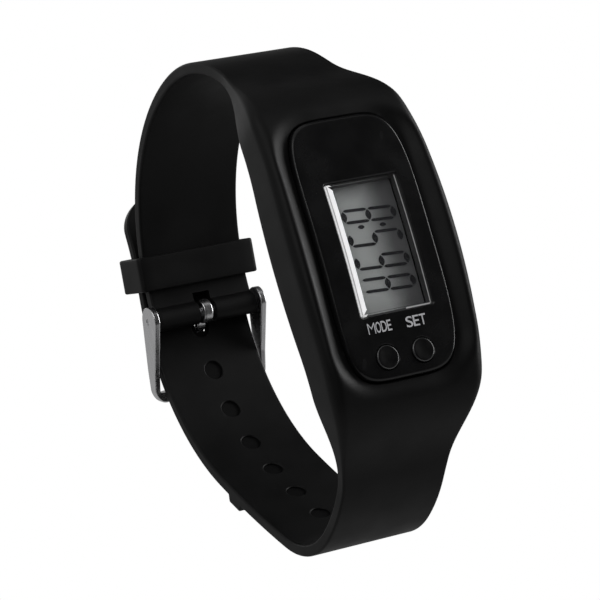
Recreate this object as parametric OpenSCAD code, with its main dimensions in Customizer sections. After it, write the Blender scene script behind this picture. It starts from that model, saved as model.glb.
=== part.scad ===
// Wrist pedometer: a clear-windowed tracker module in a one-piece silicone band with a steel tang buckle.
// X runs across the wrist, the display faces -Y, and Z runs from the 6 o'clock to the 12 o'clock end.
// The origin is the middle of the flat back that rests on the wrist. A level u is a depth in front of it.

/* [Tracker module] */
// Width of the face at its middle
face_w = 19.4; // [18.4:0.1:20.4]
// Length of the face
face_len = 39.8; // [39:0.1:42]
// Squareness of the outlines of face and case, 2 for an ellipse
squareness = 5; // [4:0.5:7]
// Thickness of the module from its back to the middle of its face
module_t = 9.75; // [9.6:0.05:10.4]
// Radius of the lengthwise crown of the face
crown_r = 146; // [110:1:300]
// How far the rear flange stands out round the face's outline
flange = 1.0; // [0.6:0.1:1.4]
// Level at which the rear flange ends
flange_u = 6.0; // [5.8:0.1:6.4]
// Wall of the case
case_wall = 1.2; // [0.8:0.1:1.3]
// Thickness of the back cover
back_t = 1.2; // [1:0.1:1.3]
// Sliding clearance between module and band
pocket_gap = 0.15; // [0.08:0.01:0.3]

/* [Display] */
// Width of the window
window_w = 12.2; // [11:0.1:12.8]
// Length of the window
window_len = 20.3; // [18:0.1:21]
// Shift of the window to the right of the middle line
window_x = 0.4; // [0:0.1:0.5]
// Shift of the window along the face
window_z = -0.2; // [-0.5:0.1:1]
// Thickness of the window
window_t = 1.0; // [0.8:0.1:1.1]
// How far the window lies below the face at its ends
window_sink = 0.15; // [0.1:0.05:0.3]
// Width of the ledge that carries the window
ledge = 0.6; // [0.4:0.1:0.7]
// Thickness of each display glass
glass_t = 0.55; // [0.4:0.05:0.6]
// Thickness of each polarising film
film_t = 0.15; // [0.1:0.01:0.2]
// Height of a digit, measured across the wrist
digit_h = 8.6; // [6:0.1:9]
// Width of a digit
digit_w = 2.5; // [2:0.1:2.6]
// Distance from one digit to the next
digit_pitch = 3.55; // [3.2:0.05:3.8]
// Width of one segment's stroke
stroke = 0.55; // [0.4:0.05:0.7]

/* [Buttons] */
// Diameter of a button
button_d = 3.6; // [3:0.1:3.8]
// Distance between the two buttons
button_pitch = 6.05; // [5.8:0.05:7]
// Distance from the face's lower end to the middle of the buttons
button_in = 3.3; // [3.1:0.1:3.5]
// How far a button stands over the face
button_rise = 0.25; // [0.1:0.05:0.5]
// Travel of a button
button_travel = 0.3; // [0.2:0.05:0.35]
// Running clearance round a button
button_gap = 0.08; // [0.04:0.01:0.12]

/* [Power and circuit] */
// Diameter of the coin cell
cell_d = 16; // [14:0.1:16]
// Thickness of the coin cell
cell_t = 2.0; // [1.6:0.1:2]
// Distance from the module's middle to the cell
cell_z = 7.6; // [7:0.1:8]
// Thickness of the circuit board
board_t = 0.8; // [0.6:0.1:0.9]
// Level of the front of the circuit board
board_u = 5.4; // [5.3:0.05:5.5]
// Diameter of the battery door
door_d = 16.8; // [16.6:0.1:17.2]
// Clearance round the battery door
door_gap = 0.08; // [0.05:0.01:0.15]

/* [Band] */
// Width of the straps
strap_w = 18; // [17.2:0.1:18.8]
// Thickness of the straps
strap_t = 1.8; // [1.6:0.05:2]
// Width of the band where it holds the module
sleeve_w = 28; // [27:0.1:30]
// Thickness of the band where it holds the module
sleeve_t = 8.0; // [7.8:0.05:8.4]
// How far the module stands out of the band towards the wrist
back_proud = 2.4; // [2.1:0.05:2.6]
// Inside depth of the closed band
loop_depth = 56.6; // [55:0.1:59]
// Diameter of the strap holes
hole_d = 3.1; // [3:0.1:3.4]
// Distance from one strap hole to the next
hole_pitch = 7.5; // [6.5:0.1:8]
// Number of strap holes
hole_count = 9; // [5:1:9]
// Length of the raised pad along the strap
pad_len = 3.5; // [3.2:0.1:3.6]
// Height of the raised pad
pad_rise = 1.1; // [0.6:0.1:1.5]

/* [Keeper] */
// Size of the keeper along the strap
keeper_len = 5.6; // [4.5:0.1:6]
// Wall of the keeper
keeper_wall = 1.15; // [1:0.05:1.5]
// Clearance between the keeper and the straps' edges
keeper_gap = 0.5; // [0.3:0.05:0.6]

/* [Buckle] */
// Diameter of the spring bar's tube
bar_d = 1.8; // [1.6:0.05:1.9]
// Diameter of the strap's rolled end round the spring bar
barrel_d = 3.8; // [3.4:0.1:4]
// Thickness of a buckle cheek
cheek_t = 1.0; // [0.8:0.1:1.2]
// Clearance between a cheek and the strap's edge
cheek_gap = 0.35; // [0.2:0.05:0.5]
// Width of a cheek at its round ends
cheek_w = 4.8; // [4.2:0.1:5]
// Width of a cheek where it begins to taper
waist_w = 2.6; // [2.2:0.1:3]
// Distance from the spring bar to the cross-bar
buckle_len = 12.9; // [12.7:0.1:13.3]
// Lean of the buckle away from the wrist
buckle_lean = 21; // [20:0.5:22]
// Thickness of the cross-bar
crossbar_t = 1.6; // [1.4:0.1:1.8]
// Width of the cross-bar
crossbar_w = 1.8; // [1.6:0.1:2]
// Width of the tongue
tongue_w = 1.6; // [1.2:0.1:1.8]
// Thickness of the tongue
tongue_t = 1.0; // [0.8:0.05:1.1]
// Diameter of a spring bar's pivot
pivot_d = 0.9; // [0.7:0.05:1]
// Travel of a spring bar's tip
tip_travel = 1.1; // [1.05:0.05:1.2]

/* [Hidden] */

$fn = 64;
cut = 0.5;
touch = 0.02;

rubber_c = "#1b1b1c";
case_c = "#141415";
steel_c = "#c8c9cb";
board_c = "#1f5a36";
brass_c = "#c9a24c";
glass_c = "#9aa39b";

// Levels of the module's layers in front of its back
face_drop = pow(face_len / 2, 2) / (2 * crown_r);
button_z = button_in - face_len / 2;
window_u = module_t - pow(window_len / 2, 2) / (2 * crown_r) - window_sink;
window_gap = 0.05;
tape_t = 0.1;
tape_u = window_u - window_t;
ledge_t = 0.5;
film_u = tape_u - tape_t - ledge_t;
front_glass_u = film_u - film_t;
ink_u = front_glass_u - glass_t;
ink_t = 0.1;
rear_glass_u = ink_u - ink_t;
rear_film_u = rear_glass_u - glass_t;
seat_u = rear_film_u - film_t;
board_back_u = board_u - board_t;
leaf_t = 0.15;
leaf_drop = 0.4;
cell_u = board_back_u - cell_t - leaf_t - leaf_drop;

glass_w = window_w + 2.4;
glass_len = window_len + 2.0;
contact_ledge = 1.6;
holder_wall = 0.6;
inner_w = face_w - 2 * case_wall;
inner_len = face_len - 2 * case_wall;
body_w = face_w + 2 * flange;
body_len = face_len + 2 * flange;
cavity_w = body_w - 2 * case_wall;
cavity_len = body_len - 2 * case_wall;

button_hole_d = button_d + 2 * button_gap;
button_face_u = module_t - pow(button_z, 2) / (2 * crown_r);
button_top_u = button_face_u + button_rise;
button_flange_t = 0.55;
button_flange_d = button_d + 1.0;
face_t = case_wall + 0.2;
button_shoulder_u = button_face_u - face_t - 0.1;
stem_d = 2.0;
dome_h = button_travel + 0.05;
dome_d = 4.2;

screw_x = face_w / 2 - 2.3;
screw_z = face_len / 2 - 2.9;
screw_head_d = 2.4;
screw_head_t = 0.7;
screw_shank_d = 1.2;
screw_len = 3.2;
screw_slot = 0.62 * screw_head_d;
screw_gap = 0.1;
boss_d = 2.8;

// Inner line of the closed band on either side of the flat behind the display, as arcs of radius and sweep
base_depth = 56.6;
bend_scale = loop_depth / base_depth;
flank_y = -back_proud;
front_y = flank_y - sleeve_t;
short_flat = face_len / 2 - 8.3;
short_arcs = [[26, 46], [22, 49], [30, 87.5]];
tail_flat = face_len / 2 - 7.2;
tail_arcs = [[26.5, 68], [13, 57.5], [170, 7], [33.5, 60.5], [-46, -22]];
short_len = short_flat + chain_length(short_arcs);
tail_len = tail_flat + chain_length(tail_arcs);

function arc_length(arc) = bend_scale * arc[0] * arc[1] * PI / 180;
function chain_length(arcs) = [for (arc = arcs) arc_length(arc)] * [for (arc = arcs) 1];

// Place and heading on a chain of arcs at a distance from its start, where a heading of 0 runs away from the flat
function arc_end(at, a, r, b) = [at[0] + r * (cos(a) - cos(b)), at[1] + r * (sin(b) - sin(a)), b];
function chain_at(arcs, s, at, i = 0) =
    let (r = bend_scale * arcs[i][0], l = arc_length(arcs[i]))
    s <= l || i == len(arcs) - 1
        ? arc_end(at, at[2], r, at[2] + s / r * 180 / PI)
        : chain_at(arcs, s - l, arc_end(at, at[2], r, at[2] + arcs[i][1]), i + 1);
function line_at(flat, arcs, s) = s <= flat ? [flank_y, s, 0] : chain_at(arcs, s - flat, [flank_y, flat, 0]);

// The band thins and narrows smoothly from the sleeve to the straps
thin_from = face_len / 2;
thin_to = thin_from + 12.6;
narrow_from = face_len / 2 - 1.1;
narrow_to = narrow_from + 17;
side_bow_r = 187;
function ease(t) = let (c = min(max(t, 0), 1)) c * c * (3 - 2 * c);
function thickness(s) =
    strap_t + (sleeve_t - s * s / (2 * crown_r) - strap_t) * (1 - ease((s - thin_from) / (thin_to - thin_from)));
function half_width(s) =
    strap_w / 2 + ((sleeve_w - strap_w) / 2 - s * s / (2 * side_bow_r))
        * (1 - ease((s - narrow_from) / (narrow_to - narrow_from)));

// A point of the band in its side view, at a distance along it and a share of its thickness
function band_point(flat, arcs, s, share) =
    let (p = line_at(flat, arcs, s), t = share * thickness(s))
    [p[0] - t * cos(p[2]), p[1] + t * sin(p[2])];
step = 1.2;
function band_edge(flat, arcs, l, share) =
    let (n = ceil(l / step))
    [for (i = [0 : n]) band_point(flat, arcs, l * i / n, share)];
function short_edge(share, l = short_len) = band_edge(short_flat, short_arcs, l, share);
function tail_edge(share, l = tail_len) = [for (p = band_edge(tail_flat, tail_arcs, l, share)) [p[0], -p[1]]];
function reversed(p) = [for (i = [len(p) - 1 : -1 : 0]) p[i]];

// Buckle, spring bar and keeper, placed from the two lines
short_end = line_at(short_flat, short_arcs, short_len);
bar_y = short_end[0] + strap_t * 0.35;
bar_z = short_end[1];
notch_w = tongue_w + 1.4;
notch_len = 3.2;
notch_margin = 0.2;
bar_gap = 0.05;
tube_len = strap_w - 0.6;
collar_len = 0.5;
tube_bore_d = pivot_d + 0.3;
tip_root = strap_w / 2 - 2.6;
cheek_x = strap_w / 2 + cheek_gap;
pivot_end = cheek_x + tip_travel - 0.2;
crossbar_in = 0.1;
keeper_from_bar = 7.6;
keeper_spot = line_at(short_flat, short_arcs, short_len - keeper_from_bar);
keeper_room = 5.4;
keeper_clear = 0.35;

// Outline with bowed sides and soft corners
function squircle(w, l, k = 80) = [
    for (i = [0 : k - 1])
        let (c = cos(360 * i / k), s = sin(360 * i / k))
        [w / 2 * sign(c) * pow(abs(c), 2 / squareness), l / 2 * sign(s) * pow(abs(s), 2 / squareness)]];

// A flat outline across the wrist and along the arm of Z, from level u0 to level u1
module slab(u0, u1) {
    translate([0, -u0, 0])
        rotate([90, 0, 0])
            linear_extrude(u1 - u0)
                children();
}

// A round rod that points out of the face, from level u0 to level u1
module rod(x, z, d, u0, u1) {
    translate([x, -u0, z])
        rotate([90, 0, 0])
            cylinder(d = d, h = u1 - u0);
}

// A side view, in Y and Z, extruded across the wrist
module across(w) {
    rotate([90, 0, 90])
        linear_extrude(w, center = true)
            children();
}

// A round rod across the wrist, from x0 to x1, at a place in the side view
module cross_rod(at, d, x0, x1) {
    translate([x0, at[0], at[1]])
        rotate([0, 90, 0])
            cylinder(d = d, h = x1 - x0);
}

module outline(w, l) {
    polygon(squircle(w, l));
}

module box_outline(w, l, x = 0, z = 0) {
    translate([x, z])
        square([w, l], center = true);
}

// Everything behind the crowned surface whose middle is at level u
module under_crown(u) {
    translate([0, crown_r - u, 0])
        rotate([0, 90, 0])
            cylinder(r = crown_r, h = 2 * sleeve_w, center = true, $fn = 720);
}

module screw_places() {
    for (sx = [-1, 1], sz = [-1, 1])
        translate([sx * screw_x, 0, sz * screw_z])
            children();
}

// The hole that holds the tongue lies just below the spring bar
function tail_at_height(z, s) = line_at(tail_flat, tail_arcs, s)[1] >= -z ? s : tail_at_height(z, s - 0.1);
used_hole = 3;
used_below_bar = 2.0;
used_at = tail_at_height(bar_z - used_below_bar, tail_len);
pad_at = used_at - 4.5 * hole_pitch;

// Places children on the tail strap at a distance along it, with Y outwards and Z towards the tip
module on_tail(s) {
    p = line_at(tail_flat, tail_arcs, s);
    translate([0, p[0], -p[1]])
        rotate([p[2] + 180, 0, 0])
            children();
}

module band_side_view() {
    polygon(concat(
        reversed(short_edge(0)), tail_edge(0), reversed(tail_edge(1)), short_edge(1)));
}

// Outline from the front as far back as the widths change
split_y = 0.3 * loop_depth;
module band_front_view() {
    n = ceil(narrow_to / step);
    right = concat(
        reversed([for (i = [0 : n]) let (s = narrow_to * i / n)
            [half_width(s), band_point(short_flat, short_arcs, s, 0.5)[1]]]),
        [for (i = [1 : n]) let (s = narrow_to * i / n)
            [half_width(s), -band_point(tail_flat, tail_arcs, s, 0.5)[1]]]);
    polygon(concat(right, [for (p = reversed(right)) [-p[0], p[1]]]));
    box_outline(strap_w, 2 * loop_depth);
}

// Outline from above, with the sleeve's front edges rounded
edge_r = 1.8;
module band_top_view() {
    translate([-sleeve_w / 2, front_y + edge_r])
        square([sleeve_w, 2 * loop_depth]);
    translate([-sleeve_w / 2 + edge_r, front_y])
        square([sleeve_w - 2 * edge_r, edge_r + touch]);
    for (s = [-1, 1])
        translate([s * (sleeve_w / 2 - edge_r), front_y + edge_r])
            circle(r = edge_r);
}

// Removes what lies past the tail's round tip
module tip_cut() {
    tip_r = strap_w / 2 + tip_over;
    on_tail(tail_len)
        translate([0, -strap_t, -tip_r * tip_round - tip_in])
            rotate([-90, 0, 0])
                linear_extrude(4 * strap_t)
                    difference() {
                        translate([-strap_w, -2 * tip_r])
                            square([2 * strap_w, 2 * tip_r]);
                        scale([1, tip_round])
                            circle(r = tip_r);
                    }
}
tip_round = 0.72;
// The tip's ellipse is a little wider than the strap and ends inside it
tip_over = 0.05;
tip_in = 0.3;

module silicone_band() {
    color(rubber_c)
        difference() {
            union() {
                intersection() {
                    across(2 * sleeve_w)
                        band_side_view();
                    union() {
                        slab(-split_y, -front_y + cut)
                            band_front_view();
                        slab(-2 * loop_depth, -split_y + touch)
                            box_outline(strap_w, 2 * loop_depth);
                    }
                    translate([0, 0, -loop_depth])
                        linear_extrude(2 * loop_depth)
                            band_top_view();
                }
                cross_rod([bar_y, bar_z], barrel_d, -strap_w / 2, strap_w / 2);
                on_tail(pad_at)
                    translate([-strap_w / 2 + 0.3, strap_t / 2, -pad_len / 2])
                        cube([strap_w - 0.6, strap_t / 2 + pad_rise, pad_len]);
            }
            slab(-loop_depth / 2, flange_u + pocket_gap)
                outline(body_w + 2 * pocket_gap, body_len + 2 * pocket_gap);
            slab(flange_u, sleeve_t + back_proud + cut)
                outline(face_w + 2 * pocket_gap, face_len + 2 * pocket_gap);
            cross_rod([bar_y, bar_z], bar_d + 2 * bar_gap, -strap_w, strap_w);
            translate([-notch_w / 2, bar_y - barrel_d, bar_z - barrel_d])
                cube([notch_w, 1.5 * barrel_d + notch_margin, barrel_d + notch_len]);
            for (i = [0 : hole_count - 1])
                on_tail(used_at + (used_hole - 1 - i) * hole_pitch)
                    translate([0, -cut, 0])
                        rotate([-90, 0, 0])
                            cylinder(d = hole_d, h = strap_t + 2 * cut);
            tip_cut();
        }
}

module keeper_frame() {
    translate([0, keeper_spot[0], keeper_spot[1]])
        rotate([180 - keeper_spot[2], 0, 0])
            children();
}

module keeper_loop() {
    outer_w = strap_w + 2 * (keeper_gap + keeper_wall);
    color(rubber_c)
        keeper_frame()
            difference() {
                translate([-outer_w / 2, -keeper_clear - keeper_wall, -keeper_len / 2])
                    cube([outer_w, keeper_room + 2 * keeper_wall, keeper_len]);
                translate([-strap_w / 2 - keeper_gap, -keeper_clear, -keeper_len])
                    cube([strap_w + 2 * keeper_gap, keeper_room, 2 * keeper_len]);
            }
}

// Places children with the spring bar at the origin and -Z running down the buckle to its cross-bar
module buckle_axes() {
    translate([0, bar_y, bar_z])
        rotate([buckle_lean, 0, 0])
            children();
}

// Side view of the frame: a round ear at the spring bar, a taper, and the cross-bar's end
ear_back = 0.3;
waist_at = [0.75, -8.3];
module cheek_view() {
    end_r = crossbar_t / 2;
    hull() {
        translate([-ear_back, 0])
            circle(d = cheek_w);
        translate(waist_at)
            circle(d = waist_w);
    }
    hull() {
        translate(waist_at)
            circle(d = waist_w);
        translate([crossbar_in + end_r, -buckle_len + crossbar_w / 2])
            circle(r = end_r);
        translate([crossbar_in + end_r, -buckle_len - crossbar_w / 2 + end_r])
            circle(r = end_r);
    }
}

// Front view of the frame: two cheeks and the cross-bar between them, with rounded corners
bend_r = 2.0;
module frame_view() {
    low = -buckle_len - crossbar_w / 2;
    outer = cheek_x + cheek_t;
    difference() {
        union() {
            translate([-outer, low + bend_r])
                square([2 * outer, cheek_w - low]);
            translate([-outer + bend_r, low])
                square([2 * (outer - bend_r), bend_r + touch]);
            for (s = [-1, 1])
                translate([s * (outer - bend_r), low + bend_r])
                    circle(r = bend_r);
        }
        translate([-cheek_x, low + crossbar_w])
            square([2 * cheek_x, 2 * buckle_len]);
    }
}

module buckle_frame() {
    groove_w = tongue_w + 2 * cheek_gap;
    color(steel_c)
        buckle_axes()
            difference() {
                intersection() {
                    across(3 * strap_w)
                        cheek_view();
                    translate([0, buckle_len, 0])
                        rotate([90, 0, 0])
                            linear_extrude(2 * buckle_len)
                                frame_view();
                }
                cross_rod([0, 0], pivot_d + 2 * bar_gap, -sleeve_w, sleeve_w);
                translate([-groove_w / 2, crossbar_in + crossbar_t - groove_t, -buckle_len - crossbar_w])
                    cube([groove_w, crossbar_t, 2 * crossbar_w]);
            }
}

// The tongue loops round the spring bar, slants through the strap hole and bends down onto the cross-bar
tongue_loop_d = bar_d + 2 * tongue_t + 2 * bar_gap;
groove_t = 0.35;
tongue_rest = crossbar_in + crossbar_t - groove_t + bar_gap + tongue_t / 2;
tongue_out = 4.3;
tongue_path = [
    [1.45, -0.05], [1.52, -1.25], [1.95, -2.6], [2.8, -3.5], [tongue_out - 0.5, -4.3], [tongue_out, -5.2],
    [tongue_out - 0.2, -6.2], [tongue_rest + 0.25, -buckle_len + 1.8], [tongue_rest, -buckle_len + 0.9],
    [tongue_rest, -buckle_len - 1.0]];
function heading(p, i) =
    let (d = p[min(i + 1, len(p) - 1)] - p[max(i - 1, 0)]) d / norm(d);
function strip_side(p, t) = [
    for (i = [0 : len(p) - 1]) let (h = heading(p, i)) p[i] + t / 2 * [h[1], -h[0]]];

module tongue_view() {
    difference() {
        union() {
            circle(d = tongue_loop_d);
            polygon(concat(strip_side(tongue_path, tongue_t), reversed(strip_side(tongue_path, -tongue_t))));
        }
        circle(d = bar_d + 2 * bar_gap);
    }
}

module buckle_tongue() {
    color(steel_c)
        buckle_axes()
            across(tongue_w)
                tongue_view();
}

module spring_bar_tube() {
    color(steel_c)
        difference() {
            cross_rod([bar_y, bar_z], bar_d, -tube_len / 2, tube_len / 2);
            cross_rod([bar_y, bar_z], tube_bore_d, collar_len - tube_len / 2, tube_len / 2 - collar_len);
            cross_rod([bar_y, bar_z], pivot_d + 2 * bar_gap, -tube_len, tube_len);
        }
}

// One sprung tip: a shank held in the tube by its collar, and a pivot in the cheek
module spring_bar_tip(side) {
    color(steel_c)
        mirror([side < 0 ? 1 : 0, 0, 0]) {
            cross_rod([bar_y, bar_z], tube_bore_d - 2 * bar_gap, tip_root, tube_len / 2 - collar_len - bar_gap);
            cross_rod([bar_y, bar_z], pivot_d, tip_root + touch, pivot_end);
        }
}

module spring_bar_tip_left() {
    spring_bar_tip(-1);
}

module spring_bar_tip_right() {
    spring_bar_tip(1);
}

// Coil between the two tips, swept as one tube along a helix
coil_turns = 12;
coil_wire_d = 0.2;
coil_ring = 10;
coil_sides = 6;
module spring_bar_spring() {
    rings = coil_turns * coil_ring;
    radius = (tube_bore_d - coil_wire_d) / 2 - bar_gap;
    length = 2 * tip_root - coil_wire_d - 2 * touch;
    points = [
        for (i = [0 : rings])
            let (a = 360 * i / coil_ring, x = -length / 2 + length * i / rings)
            for (k = [0 : coil_sides - 1])
                let (b = 360 * k / coil_sides, r = radius + coil_wire_d / 2 * cos(b))
                [x + coil_wire_d / 2 * sin(b), r * cos(a), r * sin(a)]];
    sides = [
        for (i = [0 : rings - 1]) for (k = [0 : coil_sides - 1])
            let (p = i * coil_sides + k, q = i * coil_sides + (k + 1) % coil_sides)
            each [[p, p + coil_sides, q + coil_sides], [p, q + coil_sides, q]]];
    first = [for (k = [1 : coil_sides - 2]) [0, k, k + 1]];
    last_0 = rings * coil_sides;
    last = [for (k = [1 : coil_sides - 2]) [last_0, last_0 + k + 1, last_0 + k]];
    color(steel_c)
        translate([0, bar_y, bar_z])
            polyhedron(points, concat(sides, first, last));
}

module case_outside() {
    intersection() {
        union() {
            slab(back_t, flange_u)
                outline(body_w, body_len);
            slab(flange_u - touch, module_t + cut)
                outline(face_w, face_len);
        }
        under_crown(module_t);
    }
}

module front_case() {
    color(case_c) {
        difference() {
            case_outside();
            slab(-cut, board_u)
                outline(cavity_w, cavity_len);
            difference() {
                intersection() {
                    slab(board_u - touch, module_t)
                        outline(inner_w, inner_len);
                    under_crown(module_t - face_t);
                }
                slab(film_u, module_t)
                    box_outline(window_w + 2 * ledge, window_len + 2 * ledge, window_x, window_z);
            }
            slab(0, 2 * module_t)
                box_outline(window_w - 2 * ledge, window_len - 2 * ledge, window_x, window_z);
            slab(tape_u - tape_t, 2 * module_t)
                box_outline(window_w + 2 * window_gap, window_len + 2 * window_gap, window_x, window_z);
            for (s = [-1, 1]) {
                rod(s * button_pitch / 2, button_z, button_hole_d, 0, 2 * module_t);
                rod(s * button_pitch / 2, button_z, button_flange_d + 2 * button_gap, 0, button_shoulder_u + touch);
            }
        }
        difference() {
            intersection() {
                screw_places()
                    rod(0, 0, boss_d, back_t, module_t - face_drop - touch);
                case_outside();
            }
            screw_places()
                rod(0, 0, screw_shank_d, 0, screw_head_t + screw_len);
        }
    }
}

module window_lens() {
    color(glass_c, 0.4)
        intersection() {
            slab(tape_u, module_t)
                box_outline(window_w, window_len, window_x, window_z);
            under_crown(module_t - window_sink);
        }
}

module frame_outline(w, l, border) {
    difference() {
        box_outline(w, l, window_x, window_z);
        box_outline(w - 2 * border, l - 2 * border, window_x, window_z);
    }
}

module lens_tape() {
    color("black")
        slab(tape_u - tape_t, tape_u)
            frame_outline(window_w, window_len, ledge);
}

module display_plate(u, t, shorter) {
    slab(u - t, u)
        box_outline(glass_w, glass_len - shorter, window_x, window_z + shorter / 2);
}

module front_polariser() {
    color("#8c928c", 0.5)
        display_plate(film_u, film_t, contact_ledge);
}

module lcd_front_glass() {
    color(glass_c, 0.5)
        display_plate(front_glass_u, glass_t, 0);
}

module lcd_rear_glass() {
    color(glass_c, 0.5)
        display_plate(rear_glass_u, glass_t, contact_ledge);
}

module rear_polariser() {
    color("#b5bab2")
        display_plate(rear_film_u, film_t, contact_ledge);
}

// Seven strokes of a digit: top, upper right, lower right, bottom, lower left, upper left and middle
DIGITS = [
    [1, 1, 1, 1, 1, 1, 1], [1, 0, 1, 1, 0, 1, 1], [1, 1, 1, 1, 0, 1, 1], [1, 1, 1, 0, 1, 1, 1]];
digit_z = [1.3, 0.29, -0.67, -1.69];
colon_z = 0.81;

// One stroke along +X from the origin, pointed at both ends
module stroke_shape(l) {
    h = stroke / 2;
    polygon([[0.08, 0], [h + 0.05, h], [l - h - 0.05, h], [l - 0.08, 0], [l - h - 0.05, -h], [h + 0.05, -h]]);
}

// A digit whose top points to +X and whose middle is at the origin
module digit(on) {
    a = digit_h / 2;
    b = (digit_w - stroke) / 2;
    if (on[0]) translate([a - stroke / 2, -b]) rotate(90) stroke_shape(2 * b);
    if (on[1]) translate([0, -b]) stroke_shape(a - stroke / 2);
    if (on[2]) translate([-a + stroke / 2, -b]) stroke_shape(a - stroke / 2);
    if (on[3]) translate([-a + stroke / 2, -b]) rotate(90) stroke_shape(2 * b);
    if (on[4]) translate([-a + stroke / 2, b]) stroke_shape(a - stroke / 2);
    if (on[5]) translate([0, b]) stroke_shape(a - stroke / 2);
    if (on[6]) translate([0, -b]) rotate(90) stroke_shape(2 * b);
}

module display_segments() {
    color("black")
        slab(rear_glass_u, ink_u)
            translate([window_x, window_z]) {
                for (i = [0 : 3])
                    translate([0, digit_z[i] * digit_pitch])
                        digit(DIGITS[i]);
                for (s = [-1, 1])
                    translate([s * digit_h / 5, colon_z * digit_pitch])
                        square(stroke, center = true);
            }
}

holder_gap = 0.1;
holder_rim = 1.5;
module lcd_holder() {
    w = glass_w + 2 * holder_gap;
    l = glass_len + 2 * holder_gap;
    color("#e8e8e4")
        intersection() {
            difference() {
                slab(board_u, front_glass_u)
                    box_outline(w + 2 * holder_wall, l + 2 * holder_wall, window_x, window_z);
                slab(seat_u, module_t)
                    box_outline(w, l, window_x, window_z);
                slab(board_u - cut, module_t)
                    box_outline(w - 2 * holder_rim, l - 4 * holder_rim, window_x, window_z);
                slab(board_u - cut, module_t)
                    box_outline(w - contact_ledge, contact_ledge - 2 * holder_gap, window_x, zebra_z);
            }
            slab(0, module_t)
                outline(inner_w - 2 * holder_gap, inner_len - 2 * holder_gap);
        }
}
zebra_z = window_z - glass_len / 2 + contact_ledge / 2;
zebra_in = 1.0;

module zebra_strip() {
    color("#4a4a50")
        slab(board_u, ink_u)
            box_outline(glass_w - 2 * zebra_in, contact_ledge - zebra_in / 2, window_x, zebra_z);
}

module push_button(side) {
    x = side * button_pitch / 2;
    color(case_c) {
        rod(x, button_z, button_d, button_shoulder_u - touch, button_top_u);
        rod(x, button_z, button_flange_d, button_shoulder_u - button_flange_t, button_shoulder_u);
        rod(x, button_z, stem_d, board_u + dome_h, button_shoulder_u - button_flange_t + touch);
    }
}

module mode_button() {
    push_button(-1);
}

module set_button() {
    push_button(1);
}

dome_t = 0.1;
dome_rim = 0.4;
dome_top_r = 0.6;
module switch_domes() {
    color(brass_c)
        for (s = [-1, 1])
            translate([s * button_pitch / 2, -board_u, button_z])
                rotate([90, 0, 0])
                    rotate_extrude()
                        polygon([
                            [0, dome_h - dome_t], [dome_d / 2 - dome_rim - dome_t, dome_t / 2],
                            [dome_d / 2 - dome_rim, 0], [dome_d / 2, 0], [dome_d / 2, dome_t],
                            [dome_d / 2 - dome_rim, 1.5 * dome_t], [dome_top_r, dome_h], [0, dome_h]]);
}

board_gap = 0.1;
module circuit_board() {
    color(board_c)
        difference() {
            slab(board_back_u, board_u)
                outline(cavity_w - 2 * board_gap, cavity_len - 2 * board_gap);
            screw_places()
                rod(0, 0, boss_d + 3 * board_gap, 0, module_t);
        }
}

blob_at = [-2.5, -7.5];
blob_r = 4.6;
blob_h = 1.3;
module chip_blob() {
    color("#101010")
        translate([blob_at[0], -board_back_u, blob_at[1]])
            rotate([-90, 0, 0])
                intersection() {
                    translate([0, 0, blob_h - blob_r])
                        sphere(r = blob_r);
                    cylinder(r = blob_r, h = blob_r);
                }
}

crystal_x = 4.6;
crystal_z = -9.5;
crystal_d = 1.6;
crystal_len = 5.2;
lead_d = 0.35;
lead_len = 1.4;
module quartz_crystal() {
    color(steel_c)
        translate([crystal_x, crystal_d / 2 + 0.1 - board_back_u, crystal_z]) {
            cylinder(d = crystal_d, h = crystal_len);
            for (s = [-1, 1])
                translate([s * crystal_d / 4, 0, touch - lead_len])
                    cylinder(d = lead_d, h = lead_len);
        }
}

sensor_w = 2.0;
sensor_t = 0.9;
sensor_at = [0.5, -13];
module motion_sensor() {
    color("#1a1a1c")
        slab(board_back_u - sensor_t, board_back_u)
            box_outline(sensor_w, sensor_w, sensor_at[0], sensor_at[1]);
}

// Capacitors and resistors on the back of the board
CHIP_PLACES = [[5, -13.2], [6.6, -13.2], [-5.4, -13], [-6.8, -11.2], [-6.8, -3.4], [6.9, -4.6]];
chip_w = 0.8;
chip_len = 1.6;
chip_t = 0.45;
module chip_parts() {
    color("#b9a27c")
        for (p = CHIP_PLACES)
            slab(board_back_u - chip_t, board_back_u)
                box_outline(chip_w, chip_len, p[0], p[1]);
}

cell_step = 0.3;
cell_cap_d = cell_d - 1.8;
module coin_cell() {
    color(steel_c) {
        rod(0, cell_z, cell_d, cell_u, cell_u + cell_t - cell_step);
        rod(0, cell_z, cell_cap_d, cell_u, cell_u + cell_t);
    }
}

// Leaf under the cell, fixed to the board
leaf_len = 9.0;
leaf_w = 3.0;
pip_w = 2.0;
module negative_contact() {
    color(brass_c) {
        slab(board_back_u - leaf_t, board_back_u)
            box_outline(leaf_len, leaf_w, 0, cell_z);
        slab(cell_u + cell_t, board_back_u - leaf_t + touch)
            box_outline(pip_w, 1.2 * pip_w, pip_w, cell_z);
    }
}

// Clip beside the cell, with a foot on the board and a lip on the cell's rim
clip_w = 3.0;
clip_t = 0.2;
clip_gap = 0.15;
foot_len = 1.6;
lip_len = 1.2;
module positive_contact() {
    wall_z = cell_z + cell_d / 2 + clip_gap + clip_t / 2;
    color(brass_c) {
        slab(board_back_u - leaf_t, board_back_u)
            box_outline(clip_w, foot_len, 0, wall_z + (foot_len + clip_t) / 2 - touch);
        slab(cell_u - leaf_t, board_back_u)
            box_outline(clip_w, clip_t, 0, wall_z);
        slab(cell_u - leaf_t, cell_u)
            box_outline(clip_w, lip_len, 0, wall_z - (lip_len + clip_t) / 2 + touch);
    }
}

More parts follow.
